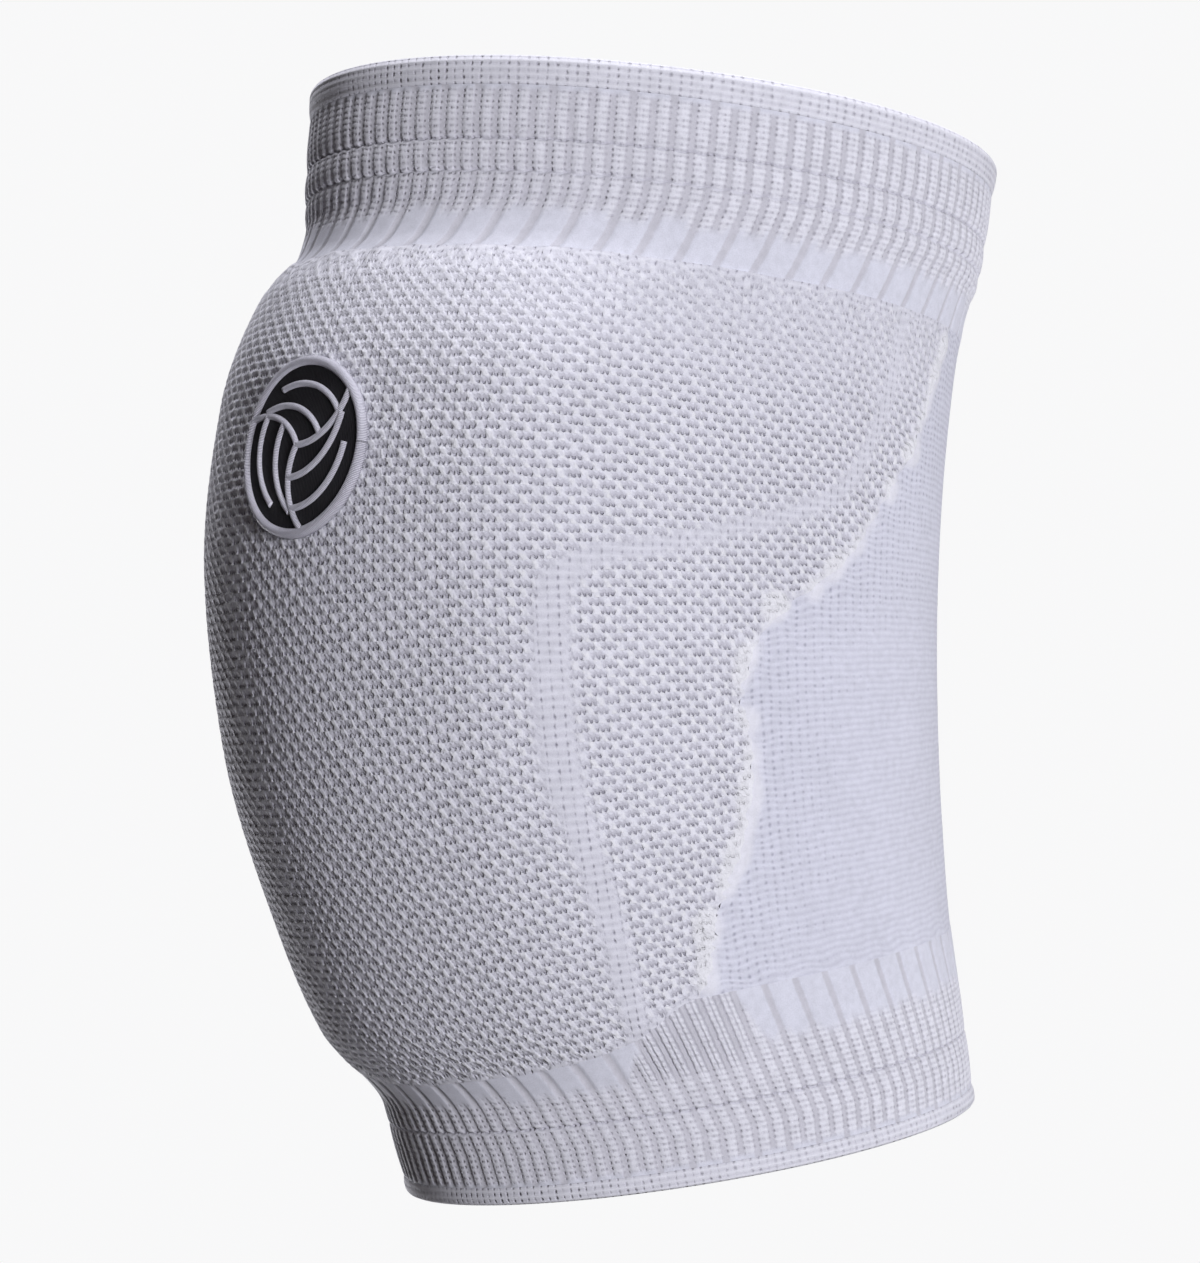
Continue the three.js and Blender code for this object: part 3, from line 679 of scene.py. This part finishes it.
def yoke(name, low, high, rows, out, cuff_end):
    """A ring of gathered knit between two borders, each a function of the angle. Its tier's step out, at
    the cuff, fades out towards the knee, where the grooves end in the knit's surface."""
    angle, share = np.meshgrid(around(8 * RIB_COUNT), np.linspace(0, 1, rows * BLOCK + 1))
    height = low(angle) + (high(angle) - low(angle)) * share

    def relief(turn, up):
        part = (up - low(turn)) / (high(turn) - low(turn))
        at_cuff = part if cuff_end else 1 - part
        return (TIER_STEP * out * smooth(0, 1, at_cuff)
                + rib_relief(turn, up) * np.minimum(1, smooth(-0.15, 0.15, at_cuff)))

    drawn = (not cuff_end) * 0.6 * drawn_in(angle) * smooth(0.0975, 0.115, height)
    return knitted(name, angle, height, relief, wales(angle, height), height * RIB_COURSES,
                   {"gather": gathered(angle, height), "drawn": drawn}, ring=True)


dress(yoke("thigh_yoke_knit", lambda a: np.full(a.shape, PANEL_TOP), lambda a: np.full(a.shape, 0.866),
           6, THIGH_TIERS[0]["out"], True), rib_knit("float_knit_polyester"), "yoke_knit", "thigh_yoke")
dress(yoke("calf_yoke_knit", lambda a: np.full(a.shape, 0.0975), lambda a: climbed(PANEL_BOTTOM, a),
           8, CALF_TIERS[-1]["out"], False), bpy.data.materials["float_knit_polyester"], "yoke_knit", "calf_yoke")

# The knee panel. Over the pad the knit is a net of small slots, laid like bricks: each slot shows three dark
# dots of painted shade, the yarn above it slopes back under the next slot's lip, and bright loops stand between
# them, lit by a painted highlight.
CELLS = 113
NET_COURSES = 137
NET_RISE = 0.00028
NET_SLANT = 0.2
BORDERS = [  # degrees round from the front of the zones' borders, by height before the lower border climbs
    {"at": 0.122, "panel": 47, "band": 52, "seam": 61},
    {"at": 0.148, "panel": 46.8, "band": 51.8, "seam": 63.5},
    {"at": 0.217, "panel": 46, "band": 51.2, "seam": 66},
    {"at": 0.274, "panel": 45, "band": 50.5, "seam": 69},
    {"at": 0.333, "panel": 43, "band": 48.8, "seam": 74},
    {"at": 0.385, "panel": 40.8, "band": 47.5, "seam": 76},
    {"at": 0.436, "panel": 40.5, "band": 47.2, "seam": 74.5},
    {"at": 0.482, "panel": 41, "band": 47.2, "seam": 78},
    {"at": 0.52, "panel": 41.5, "band": 47.5, "seam": 85},
    {"at": 0.545, "panel": 42.5, "band": 50, "seam": 92},
    {"at": 0.565, "panel": 47, "band": 64, "seam": 97},
    {"at": 0.582, "panel": 60, "band": 76, "seam": 100},
    {"at": 0.6, "panel": 74, "band": 88, "seam": 103},
    {"at": 0.62, "panel": 86, "band": 96, "seam": 106},
    {"at": 0.641, "panel": 94, "band": 100, "seam": 109},
    {"at": 0.692, "panel": 100.5, "band": 105, "seam": 116},
    {"at": 0.744, "panel": 104, "band": 108.5, "seam": 120.5},
    {"at": 0.8, "panel": 105.5, "band": 109, "seam": 125},
    {"at": 0.818, "panel": 105.5, "band": 109, "seam": 126},
]
unclimbed = np.linspace(PANEL_BOTTOM, PANEL_TOP, 600)


def border(name, height):
    """The angle of a zone's border at a height of the finished sleeve. The seam wanders, where the last
    cells of the net are cast off."""
    angle = np.radians(curve(BORDERS, name, unclimbed))
    if name == "seam":
        angle += 0.008 * np.sin(190 * unclimbed + 3 * np.sin(71 * unclimbed)) + 0.005 * np.sin(430 * unclimbed)
    return np.interp(height, climbed(unclimbed, angle), angle)


def inside(name, angle, height):
    """Distance in metres to a border, positive on its front side: the angle between, over how fast that
    changes round and up the sleeve."""
    turn = np.abs(np.arctan2(np.sin(angle), np.cos(angle)))
    drift = (border(name, height + 0.002) - border(name, height - 0.002)) / 0.004
    return (border(name, height) - turn) / np.hypot(1 / 0.067, drift / SLEEVE_LENGTH)


def opened(angle, height):
    """1 where the net is open and 0 in the plain bands and behind the seam, over which it closes within
    a cell. At the yokes it closes unevenly, and on the pad's shoulder it is less drawn open."""
    ragged = 0.002 * (np.sin(97 * angle) + np.sin(61 * angle + 2) + np.sin(151 * angle + 1)) + 0.003
    panel = smooth(-0.0025, 0.0005, inside("panel", angle, height))
    side = smooth(-0.002, 0.0015, -inside("band", angle, height)) * smooth(0, 0.0015, inside("seam", angle, height))
    ends = smooth(0, 0.006, PANEL_TOP - height - ragged) * (1 - 0.5 * smooth(0.66, 0.8, height))
    ends *= smooth(0, 0.004, height - climbed(PANEL_BOTTOM, angle) - ragged)
    return np.maximum(panel, side) * ends


def drawn(angle, height):
    """Where the knit's own grid lies: it wanders a little everywhere, and more under the upper yoke, over
    the lower one and along the seam, where the knit is drawn in."""
    wander = 0.12 + 0.5 * np.exp(-(((PANEL_TOP - height) / 0.025) ** 2))
    wander += 0.35 * np.exp(-(((height - climbed(PANEL_BOTTOM, angle)) / 0.02) ** 2))
    wander += 0.4 * np.exp(-((inside("seam", angle, height) / 0.006) ** 2))
    wave = np.sin(31 * angle + 5 * np.sin(47 * height)) + 0.7 * np.sin(59 * angle - 83 * height + 1)
    fall = np.sin(43 * angle + 61 * height) + 0.7 * np.sin(23 * angle + 4 * np.sin(71 * height) + 2)
    return angle + wander * wave * 0.5 / CELLS, height + wander * fall * 0.45 / NET_COURSES


def net_lip(across):
    """Where a slot's lower lip runs, as a share of a course: it sags in the middle and at the three dots,
    and between them two loops stand up from it."""
    return 0.2 - 0.04 * np.cos(2 * np.pi * (across - 0.5)) - 0.1 * np.cos(8 * np.pi * (across - 0.5))


def net_relief(angle, height):
    """Height of the net: in each course it climbs steadily from a slot to the lip of the next one above,
    and drops into it. The cells are staggered, and between two slots the knit stays high."""
    turn, level = drawn(angle, height)
    course = level * NET_COURSES
    up = course % 1.0
    across = (turn * CELLS / (2 * np.pi) + 0.5 * (np.floor(course) % 2) + NET_SLANT * (up - 0.5)) % 1.0
    bridge = 1 - ridge(across, 0.14, 0.86, 0.1)
    above = (up - 0.12) % 1.0
    climb = smooth(0, 0.7, above) * (1 - smooth(0.88, 1.0, above))
    return NET_RISE * opened(angle, height) * (np.maximum(climb, 0.9 * bridge) - 0.7)


def lumps(angle, height, spots, wide):
    """Rounded bumps, each of a height of its own, at the spots: (angle, height, rise)."""
    total = np.zeros(angle.shape)
    for spot_angle, spot_height, rise in spots:
        gap = np.hypot((angle - spot_angle) * 0.064, (height - spot_height) * SLEEVE_LENGTH)
        total += rise * np.exp(-((gap / wide) ** 2))
    return total


chance = np.random.default_rng(11)
tuck_angles = (np.arange(RIB_COUNT) + 0.5) * 2 * np.pi / RIB_COUNT - np.pi
TUCKS = ([(a + chance.normal(0, 0.006), PANEL_TOP - 0.004 + chance.normal(0, 0.002), chance.uniform(2, 7) * 1e-4)
          for a in tuck_angles if abs(a) < radians(105)]
         + [(a, float(climbed(PANEL_BOTTOM, a)) + 0.005 + chance.normal(0, 0.002), chance.uniform(1, 4) * 1e-4)
            for a in tuck_angles if abs(a) < radians(60)])
SEAM = [(side * (float(border("seam", h)) - 0.002 + chance.normal(0, 0.014)), h + chance.normal(0, 0.005),
         chance.uniform(2, 8) * 1e-4) for side in (1, -1) for h in np.arange(0.19, PANEL_TOP, 0.015)]


def zone(name, left, right, wide=1, course=NET_COURSES, wale=CELLS):
    """One zone of the sleeve round the knee. It lies on the lattice that all the zones share, three rows
    to a course and six columns to a cell, and its borders squeeze the lattice to its outline."""
    step = 2 * np.pi * wide / (6 * CELLS)
    rows = np.arange(-1, 4 * BLOCK * 20) / (3 * NET_COURSES) + 0.12
    rows = rows[rows < PANEL_TOP + 0.002]
    rows = rows[:(len(rows) - 1) // BLOCK * BLOCK + 1]
    low = min(left(rows).min(), right(rows).min())
    high = max(left(rows).max(), right(rows).max())
    first = np.floor(low / step)
    count = int(np.ceil((high / step - first) / BLOCK)) * BLOCK
    angle, height = np.meshgrid((first + np.arange(count + 1)) * step, rows)
    angle = np.clip(angle, left(height), right(height))
    height = np.clip(height, climbed(PANEL_BOTTOM, angle), PANEL_TOP)
    seam = SEAM + [(turn + 2 * np.pi, *rest) for turn, *rest in SEAM]
    tucks, knots = ([spot for spot in spots if low - 0.1 < spot[0] < high + 0.1] for spots in (TUCKS, seam))

    def relief(turn, up):
        return net_relief(turn, up) + lumps(turn, up, tucks + knots, 0.0024)

    turn, level = drawn(angle, height)
    knot = smooth(0.0002, 0.0006, lumps(angle, height, knots, 0.0029))
    near = np.exp(-((np.maximum(-inside("seam", angle, height), 0) / 0.023) ** 2))
    return knitted(name, angle, height, relief, turn * wale / (2 * np.pi), level * course,
                   {"open": opened(angle, height), "knot": knot, "near": near * (1 - knot)})


# Net knit of white polyester. Thin yarn makes every loop show: the slots read as three dots of painted shade
# under a hollow of painted shade, with a painted highlight on the loops between them, and the plain bands as an
# even grid of dots of painted shade with faint lines of painted shade between the courses.
NET_YARN = linear("#F3F3FB")
# NET_BRIGHT is a painted highlight on the loops that stand up below each slot and between the slots; the seam's knots
# are painted with it too.
NET_BRIGHT = linear("#FCFCFF")
NET_HOLLOW_SHADE = linear("#DAD9E2")
NET_DOT_SHADE = linear("#ABA9B8")
BAND_YARN = linear("#F0F0F7")
BAND_DOT_SHADE = linear("#A6A4B4")
BAND_WALES = 4.3  # to a cell


def net_knit(name):
    """Every second course is shifted by half a cell, and the cells lean, but hardly their dots. Ramps of the height
    above a slot's lip, which net_lip gives, draw the painted highlight on the loops below it, the line of painted shade
    in the slot and the hollow of painted shade that fades out above it. The line is dark at three places across.
    Between the slots the loops get the painted highlight too."""
    material, tree, wale, course = knit_tree(name)
    opening = add(tree, "ShaderNodeAttribute", {}, out="Fac", attribute_name="open")
    knot = add(tree, "ShaderNodeAttribute", {}, out="Fac", attribute_name="knot")
    row = add(tree, "ShaderNodeMath", {0: course}, operation="FLOOR")
    half = add(tree, "ShaderNodeMath", {0: row, 1: 2.0}, operation="MODULO")
    shifted = add(tree, "ShaderNodeMath", {0: half, 1: 0.5, 2: wale}, operation="MULTIPLY_ADD")
    up = add(tree, "ShaderNodeMath", {0: course}, operation="FRACT")
    centred = add(tree, "ShaderNodeMath", {0: up, 1: 0.5}, operation="SUBTRACT")
    leaning = add(tree, "ShaderNodeMath", {0: centred, 1: NET_SLANT, 2: shifted}, operation="MULTIPLY_ADD")
    across = add(tree, "ShaderNodeMath", {0: leaning}, operation="FRACT")
    slot = add(tree, "ShaderNodeValToRGB", {"Fac": across}, stops=[(0.09, 0), (0.2, 1), (0.8, 1), (0.91, 0)])
    middle = add(tree, "ShaderNodeValToRGB", {"Fac": across}, stops=[(0.14, 0), (0.28, 1), (0.72, 1), (0.86, 0)])
    upright = add(tree, "ShaderNodeMath", {0: centred, 1: 0.1, 2: shifted}, operation="MULTIPLY_ADD")
    phase = add(tree, "ShaderNodeMath", {0: upright, 1: 8 * np.pi}, operation="MULTIPLY")
    dips = add(tree, "ShaderNodeMath", {0: phase}, operation="COSINE")
    phase = add(tree, "ShaderNodeMath", {0: across, 1: 2 * np.pi, 2: -np.pi}, operation="MULTIPLY_ADD")
    sag = add(tree, "ShaderNodeMath", {0: phase}, operation="COSINE")
    lip = add(tree, "ShaderNodeMath", {0: dips, 1: -0.1, 2: 0.2 - 0.2}, operation="MULTIPLY_ADD")
    lip = add(tree, "ShaderNodeMath", {0: sag, 1: -0.04, 2: lip}, operation="MULTIPLY_ADD")
    above = add(tree, "ShaderNodeMath", {0: up, 1: lip}, operation="SUBTRACT")  # 0.2 at the lip
    line = add(tree, "ShaderNodeValToRGB", {"Fac": above}, stops=[(0.13, 0), (0.22, 1), (0.33, 0.9), (0.52, 0)])
    hollow = add(tree, "ShaderNodeValToRGB", {"Fac": above}, stops=[(0.28, 0), (0.42, 1), (0.72, 0.8), (0.92, 0)])
    shine = add(tree, "ShaderNodeValToRGB", {"Fac": above},
                stops=[(0.15, 1), (0.3, 1), (0.4, 0), (0.85, 0), (0.98, 1)])
    dip = add(tree, "ShaderNodeMath", {0: dips, 1: 0.5, 2: 0.5}, operation="MULTIPLY_ADD")
    dot = add(tree, "ShaderNodeValToRGB", {"Fac": dip}, stops=[(0.2, 0.4), (0.7, 1)])
    dots = add(tree, "ShaderNodeMath", {0: dot, 1: line}, operation="MULTIPLY")
    dots = add(tree, "ShaderNodeMath", {0: dots, 1: slot}, operation="MULTIPLY")
    dots = uneven(tree, dots, 0.4)
    hollows = add(tree, "ShaderNodeMath", {0: hollow, 1: middle}, operation="MULTIPLY")
    bridge = add(tree, "ShaderNodeMath", {0: 1.0, 1: slot}, operation="SUBTRACT")
    nub = add(tree, "ShaderNodeMath", {0: 1.0, 1: dot}, operation="SUBTRACT")
    nub = add(tree, "ShaderNodeMath", {0: shine, 1: nub}, operation="MULTIPLY")
    bright = add(tree, "ShaderNodeMath", {0: nub, 1: bridge}, operation="MAXIMUM")
    bright = uneven(tree, bright, 0.3)
    colour = add(tree, "ShaderNodeMixRGB", {"Fac": bright, "Color1": NET_YARN, "Color2": NET_BRIGHT})
    colour = add(tree, "ShaderNodeMixRGB", {"Fac": hollows, "Color1": colour, "Color2": NET_HOLLOW_SHADE})
    colour = add(tree, "ShaderNodeMixRGB", {"Fac": dots, "Color1": colour, "Color2": NET_DOT_SHADE})
    depth = add(tree, "ShaderNodeMath", {0: hollows, 1: 0.4, 2: dots}, operation="MULTIPLY_ADD")
    net = add(tree, "ShaderNodeMath", {0: bright, 1: 0.5, 2: 0.5}, operation="MULTIPLY_ADD")
    net = add(tree, "ShaderNodeMath", {0: net, 1: depth}, operation="SUBTRACT")
    needle = add(tree, "ShaderNodeMath", {0: wale, 1: BAND_WALES}, operation="MULTIPLY")
    near = add(tree, "ShaderNodeMath", {0: needle}, operation="FRACT")
    pair = add(tree, "ShaderNodeMath", {0: needle, 1: 0.5}, operation="MULTIPLY")
    pair = add(tree, "ShaderNodeMath", {0: pair}, operation="FRACT")
    weaker = add(tree, "ShaderNodeValToRGB", {"Fac": pair}, stops=[(0.2, 1), (0.3, 0.25), (0.7, 0.25), (0.8, 1)])
    beside = add(tree, "ShaderNodeValToRGB", {"Fac": near}, stops=[(0, 1), (0.42, 0), (0.58, 0), (1, 1)])
    between = add(tree, "ShaderNodeValToRGB", {"Fac": up}, stops=[(0, 1), (0.42, 0), (0.58, 0), (1, 1)])
    plain = add(tree, "ShaderNodeMath", {0: beside, 1: between}, operation="MULTIPLY")
    plain = add(tree, "ShaderNodeMath", {0: plain, 1: weaker}, operation="MULTIPLY")
    plain = uneven(tree, plain, 0.35)
    rows = add(tree, "ShaderNodeMath", {0: between, 1: 0.2}, operation="MULTIPLY")
    plain = add(tree, "ShaderNodeMath", {0: plain, 1: rows}, operation="MAXIMUM")
    grid = add(tree, "ShaderNodeMixRGB", {"Fac": plain, "Color1": BAND_YARN, "Color2": BAND_DOT_SHADE})
    colour = add(tree, "ShaderNodeMixRGB", {"Fac": opening, "Color1": grid, "Color2": colour})
    colour = add(tree, "ShaderNodeMixRGB", {"Fac": knot, "Color1": colour, "Color2": NET_BRIGHT})
    flat = add(tree, "ShaderNodeMath", {0: 1.0, 1: plain}, operation="SUBTRACT")
    height = add(tree, "ShaderNodeMixRGB", {"Fac": opening, "Color1": flat, "Color2": net})
    yarn_finish(tree, colour, height, 0.0004)
    return material


net_yarn = net_knit("net_knit_polyester")
knee = zone("knee_panel_knit", lambda h: -border("panel", h), lambda h: border("panel", h))
dress(knee, net_yarn, "mesh_knit", "knee_panel")

# The side bands and side panels. Each band is a stripe of plain knit that runs up beside the pad and turns
# back over the joint. Behind it the net goes on to the seam. All of it is one knit, so it is one yarn too.
plain_yarn = net_knit("plain_band_polyester")
for word, side in (("left", 1), ("right", -1)):
    for kind, near, far, yarn, slot in (("band", "panel", "band", plain_yarn, "plain_knit"),
                                        ("panel", "band", "seam", net_yarn, "mesh_knit")):
        edges = [lambda h, name=name: side * border(name, h) for name in (near, far)][::side]
        dress(zone(f"side_{kind}_{word}_knit", *edges), yarn, slot, f"side_{kind}_{word}")

# The back panel. Thinner plain knit in close courses behind the knee, so that it bends without bunching. At
# the seam its loops show as dots of painted shade, and further round only the courses show, as fine lines of
# painted shade.
BACK_WALES = 192
BACK_COURSES = 153
BACK_YARN = linear("#EDEEF8")
BACK_DOT_SHADE = linear("#ABAABB")
back_panel = zone("back_panel_knit", lambda h: border("seam", h), lambda h: 2 * np.pi - border("seam", h),
                  wide=2, course=BACK_COURSES, wale=BACK_WALES)
dress(back_panel, dotted_knit("fine_back_knit", BACK_YARN, BACK_DOT_SHADE, 0.22, 0.00016, "near"), "plain_knit", "back_panel")

# The foam pad. A thick cushion of soft foam in a plain knit cover, slipped in behind the knee panel. It is
# thickest over the kneecap, runs out to a thin edge, and its back is hollowed to the leg.
FOAM_EDGE = 0.0012
FOAM_SLACK = 0.0014
FOAM_TURN = radians(80)
COVER_YARN = linear("#E6E5EE")
# The cover's dots and lines between courses are painted shade, as on the other plain knits.
COVER_DOT_SHADE = linear("#A8A6B2")
around_pad, up_pad = np.meshgrid(np.linspace(-1, 1, 97), np.linspace(0, 1, 97))
pad_low = PANEL_BOTTOM + 2 * KNIT / SLEEVE_LENGTH
pad_high = PANEL_TOP - KNIT / SLEEVE_LENGTH
pad_angle = FOAM_TURN * around_pad
pad_height = climbed(pad_low + (pad_high - pad_low) * up_pad, pad_angle)
under = KNIT + FOAM_SLACK
outer, outer_normal = skin(pad_angle, pad_height)
inner, inner_normal = skin(pad_angle, pad_height, 0.0)
outer = outer - outer_normal * under
inner = inner - inner_normal * (under + FOAM_EDGE)
place = np.arange(outer[..., 0].size).reshape(outer.shape[:2])
front = np.stack([place[:-1, :-1], place[:-1, 1:], place[1:, 1:], place[1:, :-1]], axis=-1).reshape(-1, 4)
rim_run = np.concatenate([place[0, :-1], place[:-1, -1], place[-1, :0:-1], place[:0:-1, 0]])
next_run = np.roll(rim_run, -1)
sides = np.stack([next_run, rim_run, rim_run + place.size, next_run + place.size], axis=-1)
back_faces = front[:, ::-1] + place.size
pad = mesh_object("foam_pad_cover", np.concatenate([outer.reshape(-1, 3), inner.reshape(-1, 3)]),
                  [(front, True), (sides, True), (back_faces, True)],
                  np.concatenate([front.ravel(), sides.ravel(), back_faces.ravel()]) % place.size,
                  pad_angle * BACK_WALES / (2 * np.pi), pad_height * BACK_COURSES, {})
dress(pad, dotted_knit("foam_cover_knit", COVER_YARN, COVER_DOT_SHADE), "pad_cover", "foam_pad")

# The badge. A plain volleyball, embroidered on the knit in front of the thigh's side of the kneecap: a disc
# of close black stitches, over which the ball's seams and a ring round it are sewn in raised white satin.
BADGE_RADIUS = 0.017
BADGE_ANGLE = radians(6)
BADGE_HEIGHT = 0.648
BADGE_RING = 0.002
BADGE_LINE = 0.0013
BADGE_THICKNESS = 0.0008
BADGE_LIFT = 0.00035
# BLACK_GLEAM is a painted highlight along each black thread's top, and SATIN_SHADE is painted shade where the white
# threads meet.
BLACK_THREAD = linear("#060508")
BLACK_GLEAM = linear("#131117")
SATIN = linear("#F2F1F9")
SATIN_SHADE = linear("#A9A6B8")


def badge_point(x, y, out):
    """A point of the badge, laid out flat in metres across and up, brought onto the knee panel."""
    step = 0.01
    here = np.array([BADGE_ANGLE, BADGE_ANGLE - step, BADGE_ANGLE + step]), np.full(3, BADGE_HEIGHT)
    low = np.full(1, BADGE_HEIGHT - step), np.full(1, BADGE_HEIGHT + step)
    ring = sleeve(*here)
    round_length = np.linalg.norm(ring[2] - ring[1]) / (2 * step)
    centre = np.full(1, BADGE_ANGLE)
    up_length = np.linalg.norm(sleeve(centre, low[1]) - sleeve(centre, low[0])) / (2 * step)
    points, normal = skin(BADGE_ANGLE + x / round_length, BADGE_HEIGHT + y / up_length)
    return points + normal * np.asarray(out)[..., None]


def thread(name, base, gleam, stitches, grain):
    """Satin stitch: threads side by side, which the UV's first value counts, each round on top, its colour running
    from the base, dark where it meets the next, to the gleam along its top: painted shade and a painted highlight."""
    material, tree, across, along = knit_tree(name)
    line = add(tree, "ShaderNodeMath", {0: across}, operation="FRACT")
    round_top = add(tree, "ShaderNodeValToRGB", {"Fac": line}, stops=[(0, 0), (0.25, 0.8), (0.5, 1), (0.75, 0.8), (1, 0)])
    colour = add(tree, "ShaderNodeMixRGB", {"Fac": round_top, "Color1": base, "Color2": gleam})
    yarn_finish(tree, colour, round_top, stitches)
    tree.nodes["Principled BSDF"].inputs["Roughness"].default_value = grain
    tree.nodes["Principled BSDF"].inputs["Sheen Weight"].default_value = 0.0
    return material


def disc(name, radius, low, high):
    """A round plate that follows the knee: rings of points for its top, a rounded edge and its underside."""
    shares = np.concatenate([np.linspace(0, 0.97, 30), np.linspace(0.985, 1, 3), np.linspace(1, 0, 8)])
    levels = np.concatenate([np.full(30, high), [high - 0.1 * (high - low), high - 0.4 * (high - low), low],
                             np.full(8, low)])
    turn, ring = np.meshgrid(np.linspace(0, 2 * np.pi, 145), np.arange(shares.size))
    x = radius * shares[ring] * np.cos(turn)
    y = radius * shares[ring] * np.sin(turn)
    points = badge_point(x, y, levels[ring])
    place = np.arange(turn.size).reshape(turn.shape)
    quads = np.stack([place[:-1, :-1], place[1:, :-1], place[1:, 1:], place[:-1, 1:]], axis=-1).reshape(-1, 4)
    piece = mesh_object(name, points.reshape(-1, 3), [(quads, True)], quads.ravel(),
                        x / 0.0004 + 0.35 * np.sin(y / 0.0021), y / 0.003, {})
    edited = bmesh.new()
    edited.from_mesh(piece.data)
    bmesh.ops.remove_doubles(edited, verts=edited.verts, dist=2e-6)
    bmesh.ops.recalc_face_normals(edited, faces=edited.faces)
    edited.to_mesh(piece.data)
    edited.free()
    return piece


disc_top = BADGE_LIFT + BADGE_THICKNESS
patch = disc("badge_patch_stitches", BADGE_RADIUS - BADGE_RING / 2, BADGE_LIFT, disc_top)
dress(patch, thread("black_embroidery", BLACK_THREAD, BLACK_GLEAM, 0.0002, 0.6), "badge_black", "badge_patch")


def sweep(third, t):
    """The ball's main seams: three curves from its middle to its rim, each turning as it goes out."""
    turn = 2 * np.pi * third / 3 + 0.75 * t
    return np.stack([np.cos(turn), np.sin(turn)], axis=-1) * (t * BADGE_RADIUS)[..., None]


def cord_grid(path, width, low, high, closed):
    """A raised satin line along a path: its section is half an ellipse over a flat underside, and its UV
    counts the stitches along it."""
    ahead = np.gradient(path, axis=0)
    if closed:
        ahead = np.roll(path, -1, axis=0) - np.roll(path, 1, axis=0)
    ahead /= np.linalg.norm(ahead, axis=-1, keepdims=True)
    across = np.stack([-ahead[:, 1], ahead[:, 0]], axis=-1)
    bend = np.linspace(0, np.pi, 9)
    side = np.concatenate([np.cos(bend), [0.0]]) * width / 2
    out = np.concatenate([low + (high - low) * np.sin(bend) ** 0.7, [low]])
    spots = path[:, None] + across[:, None] * side[None, :, None]
    points = badge_point(spots[..., 0], spots[..., 1], np.broadcast_to(out, spots.shape[:2]))
    run = np.concatenate([[0], np.cumsum(np.linalg.norm(np.diff(path, axis=0), axis=-1))])
    return points, np.broadcast_to(run[:, None], spots.shape[:2])


line_low = disc_top - 0.0002
line_high = disc_top + BADGE_THICKNESS * 0.9
lines = []
ring_turn = np.linspace(0, 2 * np.pi, 241)[:-1]
ring_path = np.stack([np.cos(ring_turn), np.sin(ring_turn)], axis=-1) * (BADGE_RADIUS - BADGE_RING / 2)
lines.append((*cord_grid(ring_path, BADGE_RING, BADGE_LIFT, line_high, True), True))
for third in range(3):
    for start in (0.0, 0.36, 0.68):
        root = sweep(third, np.array([start]))
        t = np.linspace(0, 1, 61)
        path = root + sweep(third + 1, t)
        path = path[np.linalg.norm(path, axis=-1) < BADGE_RADIUS - BADGE_RING / 2]
        lines.append((*cord_grid(path, BADGE_LINE, line_low, line_high - 0.0001, False), False))
all_points, all_quads, all_runs, offset = [], [], [], 0
for points, run, closed in lines:
    place = np.arange(run.size).reshape(run.shape) + offset
    ringed = np.concatenate([place, place[:, :1]], axis=1)
    if closed:
        ringed = np.concatenate([ringed, ringed[:1]])
    all_quads.append(np.stack([ringed[:-1, :-1], ringed[:-1, 1:], ringed[1:, 1:], ringed[1:, :-1]], axis=-1)
                     .reshape(-1, 4))
    all_points.append(points.reshape(-1, 3))
    all_runs.append(run.ravel())
    offset += run.size
quads = np.concatenate(all_quads)
runs = np.concatenate(all_runs) / 0.0003
stitched = mesh_object("badge_seam_stitches", np.concatenate(all_points), [(quads, True)], quads.ravel(),
                       runs, runs, {})
edited = bmesh.new()
edited.from_mesh(stitched.data)
bmesh.ops.holes_fill(edited, edges=[edge for edge in edited.edges if edge.is_boundary])
bmesh.ops.recalc_face_normals(edited, faces=edited.faces)
edited.to_mesh(stitched.data)
edited.free()
dress(stitched, thread("white_satin_stitch", SATIN_SHADE, SATIN, 0.0002, 0.5), "badge_satin", "badge_seams")
